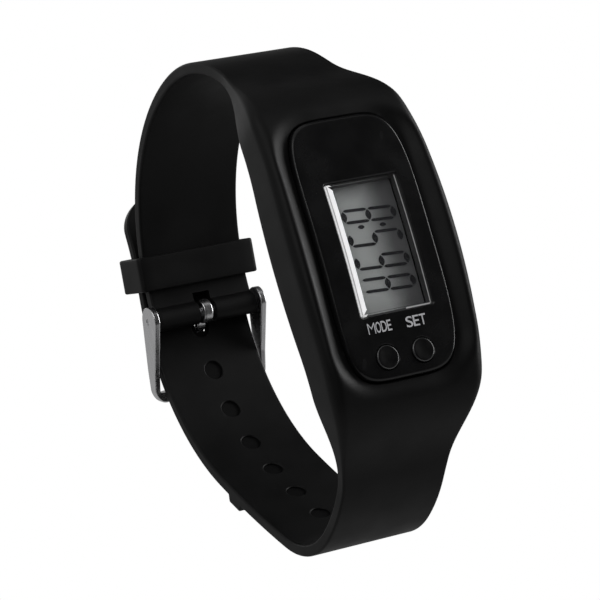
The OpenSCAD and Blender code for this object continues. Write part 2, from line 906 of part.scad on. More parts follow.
// The cover closes the case, and its round opening has three ways in for the door's lugs
lug_t = 0.5;
lug_out = 0.8;
lug_angle = 24;
lug_gap = 0.1;
door_turn = 45;
module lug_view(r, angle) {
    intersection() {
        circle(r = r);
        polygon([[0, 0], [2 * r * cos(angle / 2), -2 * r * sin(angle / 2)], [2 * r, 0],
            [2 * r * cos(angle / 2), 2 * r * sin(angle / 2)]]);
    }
}

module back_cover() {
    color(case_c)
        difference() {
            slab(0, back_t)
                outline(body_w, body_len);
            rod(0, cell_z, door_d + 2 * door_gap, -cut, back_t + cut);
            for (i = [0 : 2])
                slab(-cut, back_t + cut)
                    translate([0, cell_z])
                        rotate(door_turn + 120 * i)
                            lug_view(door_d / 2 + lug_out + lug_gap, lug_angle + 8);
            screw_places() {
                rod(0, 0, screw_head_d + 2 * screw_gap, -cut, screw_head_t);
                rod(0, 0, screw_shank_d + 2 * screw_gap, -cut, back_t + cut);
            }
        }
}

slot_len = door_d - 6;
slot_w = 1.4;
slot_depth = 0.5;
module battery_door() {
    color(case_c)
        difference() {
            union() {
                rod(0, cell_z, door_d, 0, back_t + lug_gap + lug_t);
                for (i = [0 : 2])
                    slab(back_t + lug_gap, back_t + lug_gap + lug_t)
                        translate([0, cell_z])
                            rotate(120 * i)
                                lug_view(door_d / 2 + lug_out, lug_angle);
            }
            slab(-cut, slot_depth)
                box_outline(slot_len, slot_w, 0, cell_z);
            difference() {
                rod(0, cell_z, door_d + cut, seal_u, seal_u + seal_t);
                rod(0, cell_z, seal_in_d, 0, module_t);
            }
        }
}
seal_t = 0.5;
seal_u = 0.55;
seal_in_d = door_d - 1.1;

module door_seal() {
    color("#5a2020")
        difference() {
            rod(0, cell_z, door_d, seal_u + touch, seal_u + seal_t - touch);
            rod(0, cell_z, seal_in_d + 2 * touch, 0, module_t);
        }
}

module case_screws() {
    color(steel_c)
        screw_places()
            difference() {
                union() {
                    rod(0, 0, screw_head_d, screw_gap / 2, screw_head_t);
                    rod(0, 0, screw_shank_d, screw_gap / 2, screw_head_t + screw_len - 2 * screw_gap);
                }
                for (a = [0, 90])
                    slab(-cut, screw_head_t / 2)
                        rotate(a)
                            square([screw_slot, screw_slot / 5], center = true);
            }
}

silicone_band();
keeper_loop();
buckle_frame();
buckle_tongue();
spring_bar_tube();
spring_bar_tip_left();
spring_bar_tip_right();
spring_bar_spring();
front_case();
window_lens();
lens_tape();
front_polariser();
lcd_front_glass();
display_segments();
lcd_rear_glass();
rear_polariser();
lcd_holder();
zebra_strip();
mode_button();
set_button();
switch_domes();
circuit_board();
chip_blob();
quartz_crystal();
motion_sensor();
chip_parts();
positive_contact();
negative_contact();
coin_cell();
back_cover();
case_screws();
battery_door();
door_seal();
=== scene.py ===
"""Looks of a wrist pedometer: its silicone band, steel buckle and display module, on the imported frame.

Lengths are millimetres until a surface becomes a mesh. X runs across the wrist, the display faces -Y and Z
points to the 12 o'clock strap. A level u is a depth in front of the module's flat back, so u = -y.
"""

import logging
import math
from dataclasses import dataclass
from enum import Enum
from typing import Callable

import bmesh
import bpy
import numpy as np
from mathutils import Matrix, Vector


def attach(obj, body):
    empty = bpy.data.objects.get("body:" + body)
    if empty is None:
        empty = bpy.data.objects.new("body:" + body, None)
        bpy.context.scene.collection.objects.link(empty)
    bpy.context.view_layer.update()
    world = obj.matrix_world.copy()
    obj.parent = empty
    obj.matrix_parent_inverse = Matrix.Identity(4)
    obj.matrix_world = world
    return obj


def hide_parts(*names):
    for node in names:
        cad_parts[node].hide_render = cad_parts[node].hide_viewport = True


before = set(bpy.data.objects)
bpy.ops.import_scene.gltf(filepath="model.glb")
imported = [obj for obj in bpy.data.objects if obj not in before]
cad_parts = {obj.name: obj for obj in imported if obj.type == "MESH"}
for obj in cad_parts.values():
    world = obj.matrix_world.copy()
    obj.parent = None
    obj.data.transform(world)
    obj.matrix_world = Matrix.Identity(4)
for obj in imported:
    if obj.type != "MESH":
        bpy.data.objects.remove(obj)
LOG = logging.getLogger("tracker")
MM = 0.001
WHITE = (1.0, 1.0, 1.0)
Pair = tuple[float, float]
Triple = tuple[float, float, float]
Inputs = dict[str | int, object]


class Side(Enum):
    """The two sides across the wrist."""

    LEFT = -1.0
    RIGHT = 1.0


class End(Enum):
    """The two straps, by the way that they leave the module along Z."""

    SHORT = 1.0
    TAIL = -1.0


# Surfaces


def ease(t: np.ndarray) -> np.ndarray:
    """Smooth step: 3c^2 - 2c^3, where c is t kept between 0 and 1."""
    c = np.clip(t, 0.0, 1.0)
    return c * c * (3.0 - 2.0 * c)


def smooth_max(a: np.ndarray, b: np.ndarray, soft: float) -> np.ndarray:
    """The larger of a and b, plus a parabola of height soft / 4 where the two are closer than soft."""
    near = np.maximum(soft - np.abs(a - b), 0.0) / soft
    return np.maximum(a, b) + near * near * soft / 4.0


def angles(count: int, start: float = 0.5) -> np.ndarray:
    """Angles of points spread round a circle, from a share of a step on."""
    return 2 * np.pi * (np.arange(count) + start) / count


def squircle(width: float, length: float, count: int = 200, squareness: float = 5.0) -> np.ndarray:
    """Outline with bowed sides: x = w/2 sign(c) |c|^(2/n) and z = l/2 sign(s) |s|^(2/n).

    Here c and s are the cosine and sine of an angle that runs once round.

    Args:
        width: Size along X.
        length: Size along Z.
        count: Number of points.
        squareness: The exponent n.

    Returns:
        Points (count, 2).
    """
    a = angles(count)
    unit = np.stack([np.cos(a), np.sin(a)], axis=-1)
    return np.sign(unit) * np.abs(unit) ** (2.0 / squareness) * (width / 2, length / 2)


def rounded_rectangle(
    half_a: float, half_b: float, radius: float, flat: int = 8, bend: int = 6,
) -> np.ndarray:
    """Rectangle with quarter-circle corners, each side and corner with a fixed number of points.

    Args:
        half_a: Half size along the first axis.
        half_b: Half size along the second axis.
        radius: Corner radius.
        flat: Points on each side.
        bend: Points on each corner.

    Returns:
        Points (4 (flat + bend), 2), counter-clockwise.
    """
    a, b = half_a - radius, half_b - radius
    turn = np.linspace(0, np.pi / 2, bend)
    mix = (np.linspace(-1, 1, flat + 2)[1:-1] + 1)[:, None] / 2
    corners = np.array([(a, b), (-a, b), (-a, -b), (a, -b)])
    parts = []
    for k, corner in enumerate(corners):
        angle = turn + k * np.pi / 2
        parts.append(corner + radius * np.stack([np.cos(angle), np.sin(angle)], axis=-1))
        out = np.array([math.cos((k + 1) * math.pi / 2), math.sin((k + 1) * math.pi / 2)]) * radius
        parts.append((1 - mix) * corner + mix * corners[(k + 1) % 4] + out)
    return np.concatenate(parts)


def section(
    half: np.ndarray, low: np.ndarray, high: np.ndarray, round_low: float, round_high: np.ndarray | float,
    flat: int = 12, bend: int = 7, rise: int = 4,
) -> np.ndarray:
    """Closed rounded outlines, one for each row: two sides and two flanks joined by quarter circles.

    Args:
        half: Half widths of the rows.
        low: Low sides.
        high: High sides.
        round_low: Radius of the corners at the low side, kept below half of either size.
        round_high: Radii of the corners at the high side, kept in the same way.
        flat: Points on the low and the high side.
        bend: Points on a corner.
        rise: Points on a flank.

    Returns:
        Across and height of the points (rows, points, 2).
    """
    half, low, high = (np.asarray(v, float)[:, None] for v in (half, low, high))
    limit = np.minimum(0.49 * (high - low), 0.98 * half)
    r0 = np.minimum(round_low, limit)
    r1 = np.minimum(np.broadcast_to(round_high, half.shape[:1])[:, None], limit)
    turn = np.linspace(0, np.pi / 2, bend)[None, :]
    run = np.linspace(-1, 1, flat)[None, 1:-1]
    climb = np.linspace(0, 1, rise)[None, 1:-1]
    side = [
        (half - r0 + r0 * np.sin(turn), low + r0 - r0 * np.cos(turn)),
        (half + 0 * climb, low + r0 + (high - r1 - low - r0) * climb),
        (half - r1 + r1 * np.cos(turn), high - r1 + r1 * np.sin(turn)),
    ]
    right = [np.stack([a + 0 * b, b + 0 * a], axis=-1) for a, b in side]
    left = [(p * (-1, 1))[:, ::-1] for p in reversed(right)]
    bottom = np.stack([(half - r0) * run, low + 0 * run], axis=-1)
    top = np.stack([-(half - r1) * run, high + 0 * run], axis=-1)
    return np.concatenate([bottom, *right, top, *left], axis=1)


def linked(name: str, data: bpy.types.ID) -> bpy.types.Object:
    """Makes an object and links it to the scene.

    Args:
        name: Its name.
        data: Its mesh, lamp, camera or text.

    Returns:
        The object, at the origin.
    """
    piece = bpy.data.objects.new(name, data)
    bpy.context.collection.objects.link(piece)
    return piece


@dataclass
class Shell:
    """A closed surface: points in millimetres, and faces of four and of three corners."""

    points: np.ndarray
    quads: np.ndarray
    tris: np.ndarray

    def volume(self) -> float:
        """Signed volume: a sixth of the sum of the corners' triple products.

        Returns:
            The volume in cubic millimetres, below 0 where the faces point inwards.
        """
        halves = np.concatenate([self.quads[:, [0, 1, 2]], self.quads[:, [0, 2, 3]], self.tris])
        a, b, c = (self.points[halves[:, k]] for k in range(3))
        return float(np.einsum("ij,ij->", a, np.cross(b, c)) / 6)

    def __add__(self, other: "Shell") -> "Shell":
        """Both surfaces in one mesh, unjoined.

        Args:
            other: The other surface.

        Returns:
            The new surface.
        """
        n = len(self.points)
        pairs = ((self.points, other.points), (self.quads, other.quads + n), (self.tris, other.tris + n))
        return Shell(*(np.concatenate(pair) for pair in pairs))

    def made(self, name: str, crease: float = 35.0) -> bpy.types.Object:
        """Makes the object, with its faces pointing outwards and sharp edges only above an angle.

        Args:
            name: Name of the object.
            crease: Angle in degrees above which an edge stays sharp.

        Returns:
            The new object, at the origin.
        """
        if self.volume() < 0:
            self.quads, self.tris = self.quads[:, ::-1], self.tris[:, ::-1]
        mesh = bpy.data.meshes.new(name)
        mesh.vertices.add(len(self.points))
        mesh.vertices.foreach_set("co", (self.points * MM).astype(np.float32).ravel())
        corners = np.concatenate([self.quads.ravel(), self.tris.ravel()]).astype(np.int32)
        four, three = len(self.quads), len(self.tris)
        mesh.loops.add(len(corners))
        mesh.loops.foreach_set("vertex_index", corners)
        mesh.polygons.add(four + three)
        starts = np.concatenate([np.arange(four) * 4, four * 4 + np.arange(three) * 3]).astype(np.int32)
        mesh.polygons.foreach_set("loop_start", starts)
        mesh.update(calc_edges=True)
        mesh.validate()
        piece = linked(name, mesh)
        soften(piece, crease)
        return piece


def woven(points: np.ndarray, ring: bool = False) -> Shell:
    """Joins a grid of closed rows with quads, and closes both ends with a fan round the row's middle.

    Args:
        points: Grid (rows, columns, 3); a row's last point joins its first.
        ring: The last row joins the first, and there are no fans.

    Returns:
        The closed surface.
    """
    rows, columns = points.shape[:2]
    index = np.arange(rows * columns).reshape(rows, columns)
    low, high = (index, np.roll(index, -1, axis=0)) if ring else (index[:-1], index[1:])
    quads = np.stack([low, np.roll(low, -1, 1), np.roll(high, -1, 1), high], axis=-1).reshape(-1, 4)
    flat = points.reshape(-1, 3)
    if ring:
        return Shell(flat, quads, np.empty((0, 3), int))
    first, last = len(flat), len(flat) + 1
    flat = np.concatenate([flat, points[0].mean(0)[None], points[-1].mean(0)[None]])
    a, b = index[0], index[-1]
    tris = np.concatenate([
        np.stack([np.roll(a, -1), a, np.full(columns, first)], axis=-1),
        np.stack([b, np.roll(b, -1), np.full(columns, last)], axis=-1),
    ])
    return Shell(flat, quads, tris)


def stacked(rings: list[tuple[np.ndarray, np.ndarray | float]]) -> Shell:
    """A solid of rings across the face, at y = -level.

    Args:
        rings: From the back to the front, an outline (points, 2) in X and Z and its level or levels.

    Returns:
        The closed surface.
    """
    rows = [np.stack([o[:, 0], -(u + 0 * o[:, 0]), o[:, 1]], axis=-1) for o, u in rings]
    return woven(np.stack(rows))


def circle(centre: Pair, radius: float, count: int = 72) -> np.ndarray:
    """Points (count, 2) round a circle: the centre plus r cos a along X and r sin a along Z."""
    a = angles(count)
    return np.stack([centre[0] + radius * np.cos(a), centre[1] + radius * np.sin(a)], axis=-1)


def soften(piece: bpy.types.Object, crease: float = 35.0) -> None:
    """Shades a piece smooth, with sharp edges only above an angle in degrees."""
    piece.data.shade_smooth()
    piece.data.set_sharp_from_angle(angle=math.radians(crease))


def carve(piece: bpy.types.Object, *tools: Shell, crease: float = 35.0) -> None:
    """Cuts closed surfaces out of a piece, one after another.

    Args:
        piece: The piece.
        tools: The surfaces.
        crease: Angle above which its edges stay sharp, in degrees.
    """
    for number, tool in enumerate(tools):
        cutter = tool.made(f"{piece.name}_tool_{number}")
        step = piece.modifiers.new("cut", "BOOLEAN")
        step.operation, step.solver, step.object = "DIFFERENCE", "EXACT", cutter
        shape = piece.evaluated_get(bpy.context.evaluated_depsgraph_get())
        mesh = bpy.data.meshes.new_from_object(shape)
        piece.modifiers.clear()
        old, piece.data = piece.data, mesh
        mesh.name = piece.name
        bpy.data.meshes.remove(old)
        soften(piece, crease)
        spent = cutter.data
        bpy.data.objects.remove(cutter)
        bpy.data.meshes.remove(spent)


def box(low: Triple, high: Triple) -> Shell:
    """A plain block for cutting.

    Args:
        low: Its lowest corner.
        high: Its highest corner.

    Returns:
        The closed surface.
    """
    xs = np.array([[low[0], low[1]], [high[0], low[1]], [high[0], high[1]], [low[0], high[1]]])
    rows = [np.concatenate([xs, np.full((4, 1), z)], axis=1) for z in (low[2], high[2])]
    return woven(np.stack(rows))


def middles(piece: bpy.types.Object) -> np.ndarray:
    """Where the middles of a piece's faces are.

    Args:
        piece: The piece.

    Returns:
        Their x, y and z (3, faces), in millimetres.
    """
    middle = np.empty(len(piece.data.polygons) * 3)
    piece.data.polygons.foreach_get("center", middle)
    return middle.reshape(-1, 3).T / MM


# Finishes


class Wiring:
    """Adds and joins the nodes of one shader tree."""

    def __init__(self, tree: bpy.types.NodeTree) -> None:
        """Keeps the tree."""
        self.tree = tree

    def feed(self, node: bpy.types.Node, inputs: Inputs) -> bpy.types.Node:
        """Sets inputs of a node: a socket is linked, and a colour of three numbers gets its fourth.

        Args:
            node: The node.
            inputs: Sockets, numbers or colours, by the name or number of the input.

        Returns:
            The node.
        """
        for name, value in inputs.items():
            socket = node.inputs[name]
            if isinstance(value, bpy.types.NodeSocket):
                self.tree.links.new(value, socket)
            elif isinstance(value, tuple) and len(value) < len(socket.default_value):
                socket.default_value = (*value, 1.0)
            else:
                socket.default_value = value
        return node

    def node(self, kind: str, inputs: Inputs | None = None, **settings: object) -> bpy.types.Node:
        """Adds a node.

        Args:
            kind: The node's type.
            inputs: What its inputs get.
            settings: Attributes of the node.

        Returns:
            The node.
        """
        node = self.tree.nodes.new(kind)
        for name, value in settings.items():
            setattr(node, name, value)
        return self.feed(node, inputs or {})

    def place(self) -> bpy.types.NodeSocket:
        """The point's Object coordinates."""
        return self.node("ShaderNodeTexCoord").outputs["Object"]

    def combine(self, operation: str, a: object, b: object) -> bpy.types.NodeSocket:
        """Joins two numbers, each a socket or a value, by an operation."""
        return self.node("ShaderNodeMath", {0: a, 1: b}, operation=operation).outputs[0]

    def mix(self, factor: object, a: object, b: object) -> bpy.types.NodeSocket:
        """Mixes two colours, each a socket or a colour, by a socket."""
        return self.node("ShaderNodeMix", {0: factor, 6: a, 7: b}, data_type="RGBA").outputs[2]

    def spread(
        self, value: object, low: float, high: float, start: object = 0.0, end: object = 1.0,
        **settings: object,
    ) -> bpy.types.NodeSocket:
        """Maps a socket from start..end to low..high, and keeps it there."""
        inputs = {0: value, 1: start, 2: end, 3: low, 4: high}
        return self.node("ShaderNodeMapRange", inputs, **settings).outputs[0]

    def noise(self, at: object, size: object, detail: float) -> bpy.types.NodeSocket:
        """A noise whose cells have a size in millimetres, which a socket gives."""
        inputs = {"Vector": at, "Scale": self.combine("DIVIDE", 1.0 / MM, size), "Detail": detail}
        return self.node("ShaderNodeTexNoise", inputs).outputs["Fac"]

    def bump(self, height: object, depth: float, strength: float = 1.0) -> bpy.types.NodeSocket:
        """The normal of a surface that a socket raises by up to a depth in millimetres."""
        inputs = {"Height": height, "Distance": depth * MM, "Strength": strength}
        return self.node("ShaderNodeBump", inputs).outputs[0]

    def shared(
        self, name: str, given: dict[str, float], wire: Callable[["Wiring", object], Inputs], values: Inputs,
    ) -> bpy.types.NodeOutputs:
        """Places a node group of numbers, which is made when a finish first asks for it.

        Args:
            name: Name of the group.
            given: Names and default values of its inputs.
            wire: Adds its nodes, from its wiring and its inputs, and tells what its outputs get.
            values: What the placed group's inputs get.

        Returns:
            The outputs of the placed group.
        """
        tree = bpy.data.node_groups.get(name)
        if tree is None:
            tree = bpy.data.node_groups.new(name, "ShaderNodeTree")
            add = tree.interface.new_socket
            for label, value in given.items():
                add(label, in_out="INPUT", socket_type="NodeSocketFloat").default_value = value
            inner = Wiring(tree)
            results = wire(inner, tree.nodes.new("NodeGroupInput").outputs)
            for label in results:
                add(label, in_out="OUTPUT", socket_type="NodeSocketFloat")
            inner.node("NodeGroupOutput", results)
        return self.node("ShaderNodeGroup", values, node_tree=tree).outputs

    def grain(self, **sizes: float) -> bpy.types.NodeOutputs:
        """Moulded grain and slow patches: two noises on Object coordinates, one fine and one coarse.

        Args:
            sizes: Grain and Patch, the sizes in millimetres.

        Returns:
            Grain and Patch from 0 to 1.
        """
        def wire(w: Wiring, given: object) -> Inputs:
            """Adds both noises, with their middle tones spread out."""
            at, details = w.place(), {"Grain": 3.0, "Patch": 4.0}
            return {
                label: w.spread(w.noise(at, given[f"{label} Size"], detail), 0.0, 1.0, 0.3, 0.7)
                for label, detail in details.items()}

        values = {f"{label} Size": size for label, size in sizes.items()}
        return self.shared("moulded_grain", {"Grain Size": 0.1, "Patch Size": 4.0}, wire, values)

    def wear(self) -> bpy.types.NodeSocket:
        """Wear on convex edges: how far the surface bulges from Start to End, broken up by a noise.

        Returns:
            Edge from 0 to 1.
        """
        def wire(w: Wiring, given: object) -> Inputs:
            """Adds the bulge and the noise, and multiplies them.

            Args:
                w: The group's wiring.
                given: The group's inputs.

            Returns:
                What the group's output gets.
            """
            bulge = w.node("ShaderNodeNewGeometry").outputs["Pointiness"]
            edge = w.spread(bulge, 0.0, 1.0, given["Start"], given["End"])
            patchy = w.spread(w.noise(w.place(), given["Break Size"], 3.0), 0.35, 1.0, 0.35, 0.65)
            return {"Edge": w.combine("MULTIPLY", edge, patchy)}

        given = {"Break Size": 0.6, "Start": 0.53, "End": 0.62}
        return self.shared("edge_wear", given, wire, {})["Edge"]


def grey(level: float, blue: float) -> Triple:
    """A nearly neutral colour: one level for red and green, and its own for blue."""
    return (level, level, blue)


def times(tone: Triple, factor: float) -> Triple:
    """A colour, darker or lighter by a factor, with no part above 1."""
    return tuple(min(1.0, c * factor) for c in tone)


@dataclass(frozen=True)
class Finish:
    """A material that is built when a piece first asks for it."""

    name: str

    def made(self) -> bpy.types.Material:
        """Builds the material, or finds it.

        Returns:
            The material.
        """
        made = bpy.data.materials.get(self.name)
        if made is None:
            made = bpy.data.materials.new(self.name)
            made.use_nodes = True
            w = Wiring(made.node_tree)
            w.feed(made.node_tree.nodes["Principled BSDF"], self.look(w))
        return made

    def look(self, w: Wiring) -> Inputs:
        """Adds the finish's nodes and tells what the Principled BSDF's inputs get."""
        raise NotImplementedError


@dataclass(frozen=True)
class Moulded(Finish):
    """A moulded or pressed surface: two tones in patches, fine grain, and lighter worn edges.

    Sizes are millimetres; grain_height is the depth of the grain. A painted glow makes a surface give off
    light although it is no lamp; the window's painted bevel highlights have one.
    """

    tone: Triple
    patch_tone: Triple
    roughness: Pair
    specular: float = 0.5
    metallic: float = 0.0
    grain: float = 0.1
    grain_height: float = 0.004
    patch: float = 4.0
    edge_tone: Triple | None = None
    # A painted glow, which the window's painted bevel highlights use.
    painted_glow: float = 0.0

    def look(self, w: Wiring) -> Inputs:
        """Mixes the tones by patch and wear, and raises the grain.

        Args:
            w: The material's wiring.

        Returns:
            What the Principled BSDF's inputs get.
        """
        grain = w.grain(Grain=self.grain, Patch=self.patch)
        colour = w.mix(grain["Patch"], self.tone, self.patch_tone)
        return {
            "Base Color": w.mix(w.wear(), colour, self.edge_tone) if self.edge_tone else colour,
            "Roughness": w.spread(grain["Patch"], *self.roughness),
            "Normal": w.bump(grain["Grain"], self.grain_height),
            "Specular IOR Level": self.specular, "Metallic": self.metallic,
            "Emission Color": WHITE, "Emission Strength": self.painted_glow,
        }


@dataclass(frozen=True)
class Brushed(Finish):
    """Satin metal: fine lines along one axis, soft smudges and brighter worn edges."""

    tone: Triple
    line_tone: Triple
    roughness: Pair
    along: Triple
    line_scale: float = 9000.0
    line_height: float = 0.003
    smudge: float = 2.5
    worn: float = 1.15

    def look(self, w: Wiring) -> Inputs:
        """Stretches a noise into lines, which tint and raise the metal.

        Args:
            w: The material's wiring.

        Returns:
            What the Principled BSDF's inputs get.
        """
        stretch = w.node("ShaderNodeMapping", {"Vector": w.place(), "Scale": self.along}).outputs[0]
        inputs = {"Vector": stretch, "Scale": self.line_scale, "Detail": 4.0}
        lines = w.node("ShaderNodeTexNoise", inputs).outputs["Fac"]
        colour = w.mix(w.spread(lines, 0.0, 1.0, 0.35, 0.65), self.tone, self.line_tone)
        return {
            "Metallic": 1.0,
            "Base Color": w.mix(w.wear(), colour, times(self.tone, self.worn)),
            "Roughness": w.spread(w.grain(Patch=self.smudge)["Patch"], *self.roughness),
            "Normal": w.bump(lines, self.line_height, 0.6),
        }


@dataclass(frozen=True)
class Clear(Finish):
    """Clear plastic or glass that lets the lamps' light through to what lies behind it."""

    tone: Triple
    shade: float
    ior: float = 1.45
    roughness: Pair = (0.02, 0.05)
    patch: float = 5.0

    def look(self, w: Wiring) -> Inputs:
        """Lets light through, and shows itself to shadow rays only as its shade.

        Args:
            w: The material's wiring.

        Returns:
            What the Principled BSDF's inputs get.
        """
        patch = w.grain(Patch=self.patch)["Patch"]
        shadow = w.node("ShaderNodeLightPath").outputs["Is Shadow Ray"]
        return {
            "Transmission Weight": 1.0, "IOR": self.ior,
            "Base Color": w.mix(patch, self.tone, times(self.tone, 0.97)),
            "Roughness": w.spread(patch, *self.roughness), "Alpha": w.spread(shadow, 1.0, self.shade),
        }


@dataclass(frozen=True)
class Film(Finish):
    """A clear bonded film with no visible surface of its own."""

    tone: Triple
    cover: float
    roughness: Pair = (0.25, 0.4)

    def look(self, w: Wiring) -> Inputs:
        """Covers what lies behind by a small share.

        Args:
            w: The material's wiring.

        Returns:
            What the Principled BSDF's inputs get.
        """
        patch = w.grain()["Patch"]
        return {
            "Specular IOR Level": 0.1, "Alpha": self.cover,
            "Base Color": w.mix(patch, self.tone, times(self.tone, 0.9)),
            "Roughness": w.spread(patch, *self.roughness),
        }


@dataclass(frozen=True)
class Panel(Finish):
    """The display's pale ground with painted light: painted shade darkens it to the right and at both ends,
    so it is lighter at the left and in the middle, and a painted glow lifts it.
    """

    # light is the ground's tone where the painted light leaves it lightest, and dark is the tone of the
    # painted shade.
    light: Triple
    dark: Triple
    centre: Pair
    size: Pair
    painted_glow: float
    grain: float = 0.05
    roughness: Pair = (0.5, 0.65)
    # fade, top_fade and low_fade place the painted shade: to the right, under the top and over the foot.
    fade: Pair = (0.42, 0.86)
    top_fade: float = 3.2
    low_fade: float = 3.0

    def look(self, w: Wiring) -> Inputs:
        """Paints shade on the ground by the strongest of three fades: to the right, to the top and to the
        foot. It also gives the ground a painted glow of its own colour.

        Args:
            w: The material's wiring.

        Returns:
            What the Principled BSDF's inputs get.
        """
        axes = w.node("ShaderNodeSeparateXYZ", {0: w.place()}).outputs
        left = (self.centre[0] - self.size[0] / 2) * MM
        start, end = (left + share * self.size[0] * MM for share in self.fade)
        low, high = ((self.centre[1] + sign * self.size[1] / 2) * MM for sign in (-1, 1))
        across = w.spread(axes[0], 0.0, 1.0, start, end, interpolation_type="SMOOTHSTEP")
        top = w.spread(axes[2], 0.0, 0.6, high - self.top_fade * MM, high)
        foot = w.spread(axes[2], 0.25, 0.0, low, low + self.low_fade * MM)
        # Painted shade: the strongest of the three fades.
        dark = w.combine("MAXIMUM", w.combine("MAXIMUM", across, top), foot)
        grain = w.grain(Grain=self.grain)["Grain"]
        colour = w.mix(dark, w.mix(grain, self.light, times(self.light, 0.93)), self.dark)
        # The painted glow takes the ground's colour.
        return {
            "Base Color": colour, "Emission Color": colour, "Emission Strength": self.painted_glow,
            "Specular IOR Level": 0.2, "Roughness": w.spread(grain, *self.roughness),
        }


@dataclass(frozen=True)
class Laminate(Finish):
    """Printed board: solder mask over thin straight tracks, which stand up a little."""

    mask: Triple
    track: Triple
    scale: float = 700.0
    track_share: float = 0.06
    track_height: float = 0.02
    roughness: Pair = (0.3, 0.42)

    def look(self, w: Wiring) -> Inputs:
        """Takes the tracks from the joints of a brick pattern laid in the board's plane.

        Args:
            w: The material's wiring.

        Returns:
            What the Principled BSDF's inputs get.
        """
        upright = w.node("ShaderNodeMapping", {"Vector": w.place(), "Rotation": (math.pi / 2, 0.0, 0.0)})
        cells = w.node("ShaderNodeTexBrick", {
            "Vector": upright.outputs[0], "Scale": self.scale, "Mortar Size": self.track_share,
            "Color1": (0, 0, 0), "Color2": (0, 0, 0), "Mortar": (1, 1, 1)}).outputs["Fac"]
        grain = w.grain()
        ground = w.mix(grain["Patch"], self.mask, times(self.mask, 0.8))
        return {
            "Base Color": w.mix(cells, ground, self.track),
            "Roughness": w.spread(grain["Grain"], *self.roughness),
            "Normal": w.bump(cells, self.track_height),
        }


@dataclass(frozen=True)
class Card(Finish):
    """The dull black of a card in the studio."""

    def look(self, w: Wiring) -> Inputs:
        """Nearly black, without gloss."""
        return {"Base Color": (0.01, 0.01, 0.01), "Roughness": 1.0}


@dataclass(frozen=True)
class Ground(Finish):
    """The studio's floor: pale to the camera, half as pale to everything else, and clear from below."""

    def look(self, w: Wiring) -> Inputs:
        """Splits the floor's light between a plain tone and a glow that only the camera sees.

        Args:
            w: The material's wiring.

        Returns:
            What the Principled BSDF's inputs get.
        """
        seen = w.node("ShaderNodeLightPath").outputs["Is Camera Ray"]
        behind = w.node("ShaderNodeNewGeometry").outputs["Backfacing"]
        return {
            "Roughness": 0.9, "Specular IOR Level": 0.0, "Base Color": w.spread(seen, 0.45, 0.9),
            "Emission Color": WHITE, "Emission Strength": w.spread(seen, 0.0, 0.45),
            "Alpha": w.spread(behind, 1.0, 0.0),
        }


SILICONE = Moulded(
    "silicone_black", grey(0.0030, 0.0031), grey(0.0042, 0.0043), (0.44, 0.56), specular=0.17,
    grain=0.16, grain_height=0.003, patch=7.0, edge_tone=grey(0.010, 0.0104))
CASE = Moulded(
    "case_black", grey(0.0046, 0.0048), grey(0.0060, 0.0063), (0.20, 0.30), specular=0.35,
    grain=0.08, grain_height=0.0012, patch=5.0, edge_tone=grey(0.010, 0.0105))
BUTTON = Moulded(
    "button_black", grey(0.0030, 0.0032), grey(0.0046, 0.0048), (0.26, 0.38), specular=0.25,
    grain=0.06, grain_height=0.002, patch=1.5)
# Painted highlight: a button's rim is far lighter and glossier than its cap, standing in for the ring of
# light on its edge.
BUTTON_RIM_HIGHLIGHT = Moulded(
    "button_rim_painted_highlight", grey(0.040, 0.041), grey(0.014, 0.015), (0.20, 0.30), specular=1.0,
    grain=0.06, grain_height=0.002, patch=1.6)
BACK = Moulded(
    "case_back_black", grey(0.010, 0.0105), grey(0.014, 0.0145), (0.38, 0.50), specular=0.45,
    patch=3.0, edge_tone=grey(0.03, 0.031))
# Painted highlights on the window's bevels: a duller one and a brighter one, each with a painted glow.
LENS_DULL_HIGHLIGHT = Moulded(
    "window_dull_painted_highlight", grey(0.72, 0.73), grey(0.42, 0.43), (0.18, 0.3), grain=0.05, grain_height=0.002,
    patch=2.2, painted_glow=0.12)
LENS_BRIGHT_HIGHLIGHT = Moulded(
    "window_bright_painted_highlight", grey(0.86, 0.87), grey(0.70, 0.72), (0.18, 0.3), grain=0.05, grain_height=0.002,
    patch=1.2, painted_glow=0.38)
PRINT = Moulded(
    "label_print", grey(0.56, 0.58), grey(0.46, 0.48), (0.45, 0.6), grain=0.08, grain_height=0.003, patch=0.6)
INK = Moulded(
    "display_ink", grey(0.006, 0.0065), (0.010, 0.0105, 0.0105), (0.4, 0.55), specular=0.1,
    grain=0.05, grain_height=0.001, patch=0.8)
TAPE = Moulded(
    "tape_grey", grey(0.030, 0.031), grey(0.022, 0.023), (0.6, 0.75), grain=0.12, grain_height=0.006)
HOLDER = Moulded(
    "holder_white", grey(0.72, 0.70), grey(0.66, 0.64), (0.4, 0.5), grain=0.2, edge_tone=grey(0.82, 0.80))
CONTACT_RUBBER = Moulded(
    "contact_rubber", grey(0.06, 0.065), grey(0.10, 0.11), (0.55, 0.7), grain_height=0.006)
BRASS = Moulded(
    "contact_brass", (0.58, 0.42, 0.16), (0.50, 0.36, 0.14), (0.22, 0.36), metallic=1.0,
    grain=0.08, grain_height=0.002, patch=1.5, edge_tone=(0.75, 0.6, 0.3))
EPOXY = Moulded(
    "chip_epoxy", grey(0.012, 0.012), grey(0.02, 0.02), (0.15, 0.3), grain=0.5, grain_height=0.01, patch=2.0)
CERAMIC = Moulded(
    "chip_ceramic", (0.42, 0.34, 0.22), (0.5, 0.42, 0.3), (0.35, 0.5), grain_height=0.003, patch=0.6)
